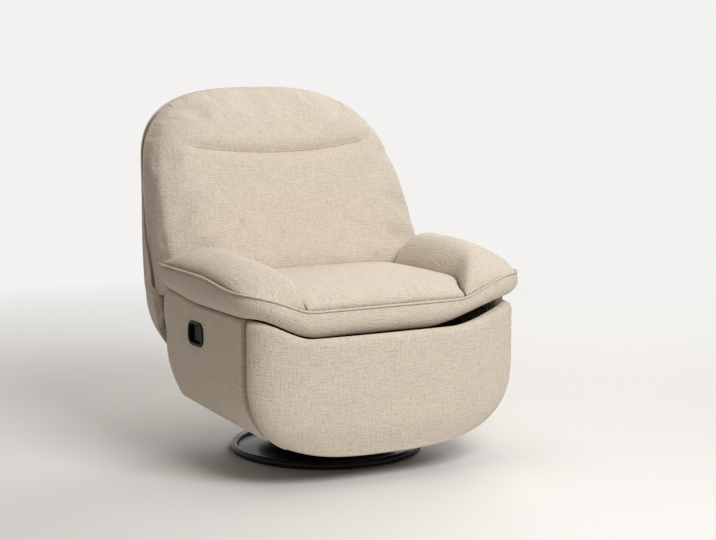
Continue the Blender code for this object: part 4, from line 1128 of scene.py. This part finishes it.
# Footrest panel, with rolled left, right, lower and upper edges.
FOOTREST_FRONT_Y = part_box("footrest_pad")[0].y - SWIVEL_Y
FOOTREST_WALL = 0.043
FOOTREST_OUT = 0.003
FOOTREST_LIFT = 0.006
FOOTREST_FOOT_TUCK = 0.020
FOOTREST_TUCK_Z = 0.17
FOOTREST_TOP_TUCK = 0.008
FOOTREST_TOP_RUN = (0.85, 1)
FOOTREST_ROW_EASE = 1.4
FOOTREST_ROUNDNESS = 2.8
FOOTREST_TOE = 0.09
FOOTREST_TOE_RUN = (0.66, 1)
FOOTREST_ROLLS = (0.004, 0.004, 0.009, 0.020)
FOOTREST_SEAM_GAP = 0.0015
FOOTREST_SIDE_GAP = 0.0035
FOOTREST_CLIMB = 0.0505
FOOTREST_CLIMB_TILT = 0.0025
FOOTREST_CLIMB_X = ((0.250, 0.40), (0.17, 0.42))


def tub_roundness(x):
    """Power of the outline of the tub, which is fuller at the lower left corner."""
    return np.where(x < 0, TUB_ROUNDNESS_LEFT, TUB_ROUNDNESS_RIGHT)


def tub_half_width(sign, z):
    drop = np.maximum(0, TUB_SHOULDER_Z - z) / (TUB_SHOULDER_Z - TUB_BOTTOM_Z)
    return TUB_HALF_WIDTH * superellipse(drop, tub_roundness(sign))


def side_front_y(z):
    """Front edge of the side panels, which runs forward towards the foot."""
    return SIDE_FRONT_Y - SIDE_FRONT_FOOT * (1 - smooth_step(z, *SIDE_FRONT_FOOT_Z))


def footrest_top(x):
    """Upper edge of the footrest panel, below the tucked lower edge of the border."""
    climb = uneven_climb(x, *FOOTREST_CLIMB_X)
    return BAND_BOTTOM_Z - FOOTREST_SEAM_GAP + (FOOTREST_CLIMB - FOOTREST_CLIMB_TILT * np.sign(x)) * climb


class RECLINER_OT_sides(bpy.types.Operator):
    """Makes the upholstered side panels, the left one with an opening for the release handle"""

    bl_idname = "recliner.sides"
    bl_label = "Side panels"

    def execute(self, context):
        up, along = np.meshgrid(eased_share(45), eased_share(63), indexing="ij")
        foot = SIDE_FOOT_Z - SIDE_FOOT_DROP * (1 - along)
        rear = SIDE_REAR_Y - SIDE_REAR_FOOT * (1 - smooth_step(up, *SIDE_REAR_FOOT_RUN))
        rear = rear + SIDE_REAR_BULGE * smooth_step(up, *SIDE_REAR_BULGE_RUN)
        rear = rear - SIDE_REAR_TOP * smooth_step(up, *SIDE_REAR_TOP_RUN) ** 2
        level = SIDE_FRONT_Y + (rear - SIDE_FRONT_Y) * along
        rolls = [share * sizes().edge_roll for share in SIDE_ROLLS]
        for name, sign in SIDES:
            top = band_bottom(sign * TUB_HALF_WIDTH, level) - SIDE_TOP_GAP
            z = foot + (top - foot) * up
            y = level + (side_front_y(z) - SIDE_FRONT_Y) * (1 - along)
            middle = tub_half_width(sign, z) - SIDE_THICKNESS / 2
            sheet = grid_of(sign * middle, y, z)
            panel = rolled_panel(f"side_cover_{name}", sheet, SIDE_PADDING, rolls, woven_fabric())
            if name == "left":
                self.cut_opening(panel)
            place(subdivided(panel), "frame", (f"side_panel_{name}",))
        return {"FINISHED"}

    def cut_opening(self, panel):
        """Cuts the panel to the outline of the handle's cup."""
        low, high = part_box("handle_bezel")
        middle = centre_of("handle_bezel")
        half_y = (high.y - low.y) / 2 - OPENING_INSET
        half_z = (high.z - low.z) / 2 - OPENING_INSET
        verts = []
        for x in (low.x - OPENING_REACH, high.x + OPENING_REACH):
            for turn in full_turn(OPENING_POINTS):
                across = math.copysign(abs(math.cos(turn)) ** OPENING_POWER, math.cos(turn))
                upright = math.copysign(abs(math.sin(turn)) ** OPENING_POWER, math.sin(turn))
                verts.append((x, middle.y - SWIVEL_Y + half_y * across, middle.z + half_z * upright))
        number = np.arange(len(verts)).reshape(2, OPENING_POINTS)
        cutter = new_object("opening", verts, tube_faces(number), woven_fabric())
        cut = panel.modifiers.new("opening", "BOOLEAN")
        cut.object = cutter
        cut.solver = "EXACT"
        pierced = panel.evaluated_get(bpy.context.evaluated_depsgraph_get())
        mesh = bpy.data.meshes.new_from_object(pierced)
        panel.modifiers.remove(cut)
        panel.data = mesh
        bpy.data.objects.remove(cutter)


class RECLINER_OT_footrest(bpy.types.Operator):
    """Makes the padded footrest panel that closes the front"""

    bl_idname = "recliner.footrest"
    bl_label = "Footrest panel"

    def execute(self, context):
        half = TUB_HALF_WIDTH + FOOTREST_OUT - FOOTREST_WALL / 2
        deep = TUB_SHOULDER_Z - TUB_BOTTOM_Z - FOOTREST_LIFT
        down = -quarter_turn(34)[::-1]
        lift = 1 - (1 - np.linspace(0, 1, 22)[1:]) ** FOOTREST_ROW_EASE
        across, up = np.meshgrid(eased(87), np.concatenate([down, lift]))
        power = tub_roundness(across)
        drawn = round_off(across, -up, power)
        share = across * drawn
        x = half * share
        top = footrest_top(x)
        z = TUB_SHOULDER_Z + up * np.where(up < 0, drawn * deep, top - TUB_SHOULDER_Z)
        tuck = FOOTREST_FOOT_TUCK * (1 - smooth_step(z, TUB_BOTTOM_Z, FOOTREST_TUCK_Z))
        tuck = tuck + FOOTREST_TOP_TUCK * smooth_step(up, *FOOTREST_TOP_RUN)
        rear = side_front_y(z) - FOOTREST_SIDE_GAP
        depth = rear - (FOOTREST_FRONT_Y + FOOTREST_WALL / 2 + tuck)
        drop = share_of(z, TUB_SHOULDER_Z, TUB_SHOULDER_Z - deep)
        outline = superellipse(drop * (1 - FOOTREST_TOE * smooth_step(drop, *FOOTREST_TOE_RUN)), power)
        depth = depth * superellipse(share / outline, FOOTREST_ROUNDNESS)
        sheet = grid_of(x, rear - depth, z)
        pad = rolled_panel("footrest_cover", sheet, FOOTREST_WALL, FOOTREST_ROLLS, woven_fabric())
        place(subdivided(pad), "footrest", ("footrest_pad",))
        return {"FINISHED"}


# Floor ring and coil springs.
RING_TURNS = 144
RING_SIDES = 24
RING_LOWEST = 0.0006
SPRING_WIRE = 0.0025
SPRING_TURNS = 4


class RECLINER_OT_base(bpy.types.Operator):
    """Makes the round floor ring and the coil springs that steady the rocking"""

    bl_idname = "recliner.base"
    bl_label = "Base"

    def execute(self, context):
        low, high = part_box("base_ring")
        tube_radius = (high.z - low.z) / 2
        turn, roll = np.meshgrid(full_turn(RING_TURNS), full_turn(RING_SIDES), indexing="ij")
        out = high.x - tube_radius + tube_radius * np.cos(roll)
        height = np.maximum(tube_radius * (1 + np.sin(roll)), RING_LOWEST)
        verts = grid_of(out * np.cos(turn), out * np.sin(turn), height).reshape(-1, 3).tolist()
        number = np.arange(len(verts)).reshape(RING_TURNS, RING_SIDES)
        closed = np.concatenate([number, number[:1]])
        ring = new_object("floor_ring", verts, quads(closed, np.roll(closed, -1, axis=1)), black_paint())
        place(ring, "base", ("base_ring",))
        for place_name in ("front_left", "front_right", "rear_left", "rear_right"):
            self.wind_spring(place_name)
        return {"FINISHED"}

    def wind_spring(self, place_name):
        """Winds a rocking spring in the box of its part from the model."""
        low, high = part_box(f"rock_spring_{place_name}")
        middle = centre_of(f"rock_spring_{place_name}")
        foot = low.z + SPRING_WIRE
        head = high.z - SPRING_WIRE
        radius = (high.x - low.x) / 2 - SPRING_WIRE
        turn = np.linspace(0, 2 * math.pi * SPRING_TURNS, 24 * SPRING_TURNS + 1)
        x = middle.x + radius * np.cos(turn)
        y = middle.y - SWIVEL_Y + radius * np.sin(turn)
        line = np.column_stack([x, y, foot + (head - foot) * turn / turn[-1]])
        spring = piping(f"coil_spring_{place_name}", line, SPRING_WIRE, zinc_plate(), 8)
        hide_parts(f"rock_spring_{place_name}")
        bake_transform(spring)


class RECLINER_OT_finishes(bpy.types.Operator):
    """Gives the metal, wood and plastic parts of the frame their finishes"""

    bl_idname = "recliner.finishes"
    bl_label = "Frame finishes"

    def execute(self, context):
        finish_of = {
            "black_steel": black_paint(), "bare_steel": zinc_plate(), "frame_wood": frame_wood(),
            "black_plastic": moulded_plastic(), "upholstery": woven_fabric(),
        }
        for part in frame["record"]["subparts"]:
            mesh = frame["nodes"][part["node"]].data
            mesh.materials.clear()
            mesh.materials.append(finish_of[part["material_slot"]])
        # Black lining on these boards, which also paints the shade in the gap of the back seam and in the gap
        # under the border.
        for node in ("back_board", "footrest_board", "seat_rail_front"):
            frame["nodes"][node].data.materials[0] = lining_and_gap_shade()
        for node in ("side_board_left", "side_board_right", "back_bracket_left", "back_bracket_right"):
            frame["nodes"][node].data.materials[0] = calico()
        return {"FINISHED"}


FLOOR_RADIUS = 4
FLOOR_POINTS = 64
FLOOR_FADE = 2.2
FLOOR_FADE_END = 3.4
LAMP_AIM_Z = 0.5


class RECLINER_OT_stage(bpy.types.Operator):
    """Makes the floor, the lamps, the world and the camera"""

    bl_idname = "recliner.stage"
    bl_label = "Stage"

    def execute(self, context):
        scene = context.scene
        scene.view_settings.view_transform = "Standard"
        self.floor()
        self.world(scene)
        self.lamp("key_lamp", (0.4, -3.1, 2.9), 1.8, 113.0)
        self.lamp("window_lamp", (2.6, 2.0, 2.3), 2.0, 58.0)
        self.lamp("top_lamp", (0.1, 0.2, 3.6), 2.4, 32.0)
        self.camera(scene, scene.recliner_view)
        return {"FINISHED"}

    def camera(self, scene, view):
        """Aims a camera at a point beside the swivel axis."""
        back = Vector((
            math.sin(view.azimuth) * math.cos(view.elevation),
            -math.cos(view.azimuth) * math.cos(view.elevation),
            math.sin(view.elevation),
        ))
        aside = Vector((math.cos(view.azimuth), math.sin(view.azimuth), 0))
        aim = aside * view.aside + Vector((0, SWIVEL_Y, view.height))
        lens = bpy.data.cameras.new("camera")
        lens.lens = view.lens
        lens.sensor_fit = "HORIZONTAL"
        camera = bpy.data.objects.new("camera", lens)
        scene.collection.objects.link(camera)
        camera.location = aim + back * view.distance
        camera.rotation_euler = back.to_track_quat("Z", "Y").to_euler()
        scene.camera = camera

    def floor(self):
        """A pale floor that fades into the backdrop away from the chair."""
        made = Nodes("studio_floor")
        spot = made.spot()
        floor = tuple(colours().floor)
        made.colour(made.noise(spot, 40.0, 4.0), shade(floor, 0.985), shade(floor, 1.015))
        made.set(Roughness=0.85)
        away = made.add("VectorMath", operation="LENGTH")
        made.link(spot, away.inputs[0])
        fade = made.math("DIVIDE", made.math("SUBTRACT", FLOOR_FADE_END, away.outputs["Value"]), FLOOR_FADE)
        fade = made.math("MINIMUM", made.math("MAXIMUM", fade, 0.0), 1.0)
        made.link(fade, made.shader.inputs["Alpha"])
        mesh = bpy.data.meshes.new("floor")
        turn = full_turn(FLOOR_POINTS)
        ring = FLOOR_RADIUS * grid_of(np.cos(turn), np.sin(turn), 0)
        mesh.from_pydata(ring.tolist(), [], [tuple(range(FLOOR_POINTS))])
        mesh.materials.append(made.material)
        floor_object = bpy.data.objects.new("floor", mesh)
        bpy.context.scene.collection.objects.link(floor_object)

    def world(self, scene):
        """Warm light all round, with a pale backdrop that only the camera, glossy and clear surfaces see."""
        world = bpy.data.worlds.new("studio")
        scene.world = world
        world.use_nodes = True
        tree = world.node_tree
        light = tree.nodes["Background"]
        light.inputs["Color"].default_value = (1.0, 0.90, 0.79, 1.0)
        light.inputs["Strength"].default_value = 0.225
        backdrop = tree.nodes.new("ShaderNodeBackground")
        backdrop.inputs["Color"].default_value = (0.90, 0.89, 0.88, 1.0)
        choose = tree.nodes.new("ShaderNodeMixShader")
        path = tree.nodes.new("ShaderNodeLightPath")
        seen = path.outputs["Is Camera Ray"]
        for ray in ("Is Glossy Ray", "Is Transmission Ray"):
            either = tree.nodes.new("ShaderNodeMath")
            either.operation = "MAXIMUM"
            tree.links.new(seen, either.inputs[0])
            tree.links.new(path.outputs[ray], either.inputs[1])
            seen = either.outputs[0]
        tree.links.new(seen, choose.inputs[0])
        tree.links.new(light.outputs[0], choose.inputs[1])
        tree.links.new(backdrop.outputs[0], choose.inputs[2])
        tree.links.new(choose.outputs[0], tree.nodes["World Output"].inputs["Surface"])

    def lamp(self, name, location, size, power):
        """A square lamp aimed at the middle of the chair."""
        light = bpy.data.lights.new(name, "AREA")
        light.shape = "SQUARE"
        light.size = size
        light.energy = power
        lamp = bpy.data.objects.new(name, light)
        bpy.context.scene.collection.objects.link(lamp)
        lamp.location = location
        toward = Vector(location) - Vector((0, SWIVEL_Y, LAMP_AIM_Z))
        lamp.rotation_euler = toward.to_track_quat("Z", "Y").to_euler()


class RECLINER_PT_panel(bpy.types.Panel):
    """Lists the sizes, colours and steps"""

    bl_idname = "RECLINER_PT_panel"
    bl_label = "Swivel Rocker Recliner"
    bl_space_type = "VIEW_3D"
    bl_region_type = "UI"
    bl_category = "Recliner"

    def draw(self, context):
        scene = context.scene
        for group in (scene.recliner_sizes, scene.recliner_colours, scene.recliner_view):
            for name in group.__annotations__:
                self.layout.prop(group, name)
        for step in STEPS:
            self.layout.operator(step.bl_idname)


STEPS = (
    RECLINER_OT_finishes, RECLINER_OT_base, RECLINER_OT_border, RECLINER_OT_seat, RECLINER_OT_arms,
    RECLINER_OT_back, RECLINER_OT_sides, RECLINER_OT_footrest, RECLINER_OT_stage,
)
GROUPS = (ReclinerSizes, ReclinerColours, ReclinerView)


def register():
    for made in (*GROUPS, *STEPS, RECLINER_PT_panel):
        bpy.utils.register_class(made)
    bpy.types.Scene.recliner_sizes = PointerProperty(type=ReclinerSizes)
    bpy.types.Scene.recliner_colours = PointerProperty(type=ReclinerColours)
    bpy.types.Scene.recliner_view = PointerProperty(type=ReclinerView)


def unregister():
    del bpy.types.Scene.recliner_view
    del bpy.types.Scene.recliner_colours
    del bpy.types.Scene.recliner_sizes
    for made in reversed((*GROUPS, *STEPS, RECLINER_PT_panel)):
        bpy.utils.unregister_class(made)


def main():
    register()
    bpy.ops.recliner.finishes()
    bpy.ops.recliner.base()
    bpy.ops.recliner.border()
    bpy.ops.recliner.seat()
    bpy.ops.recliner.arms()
    bpy.ops.recliner.back()
    bpy.ops.recliner.sides()
    bpy.ops.recliner.footrest()
    bpy.ops.recliner.stage()


if __name__ == "__main__":
    main()
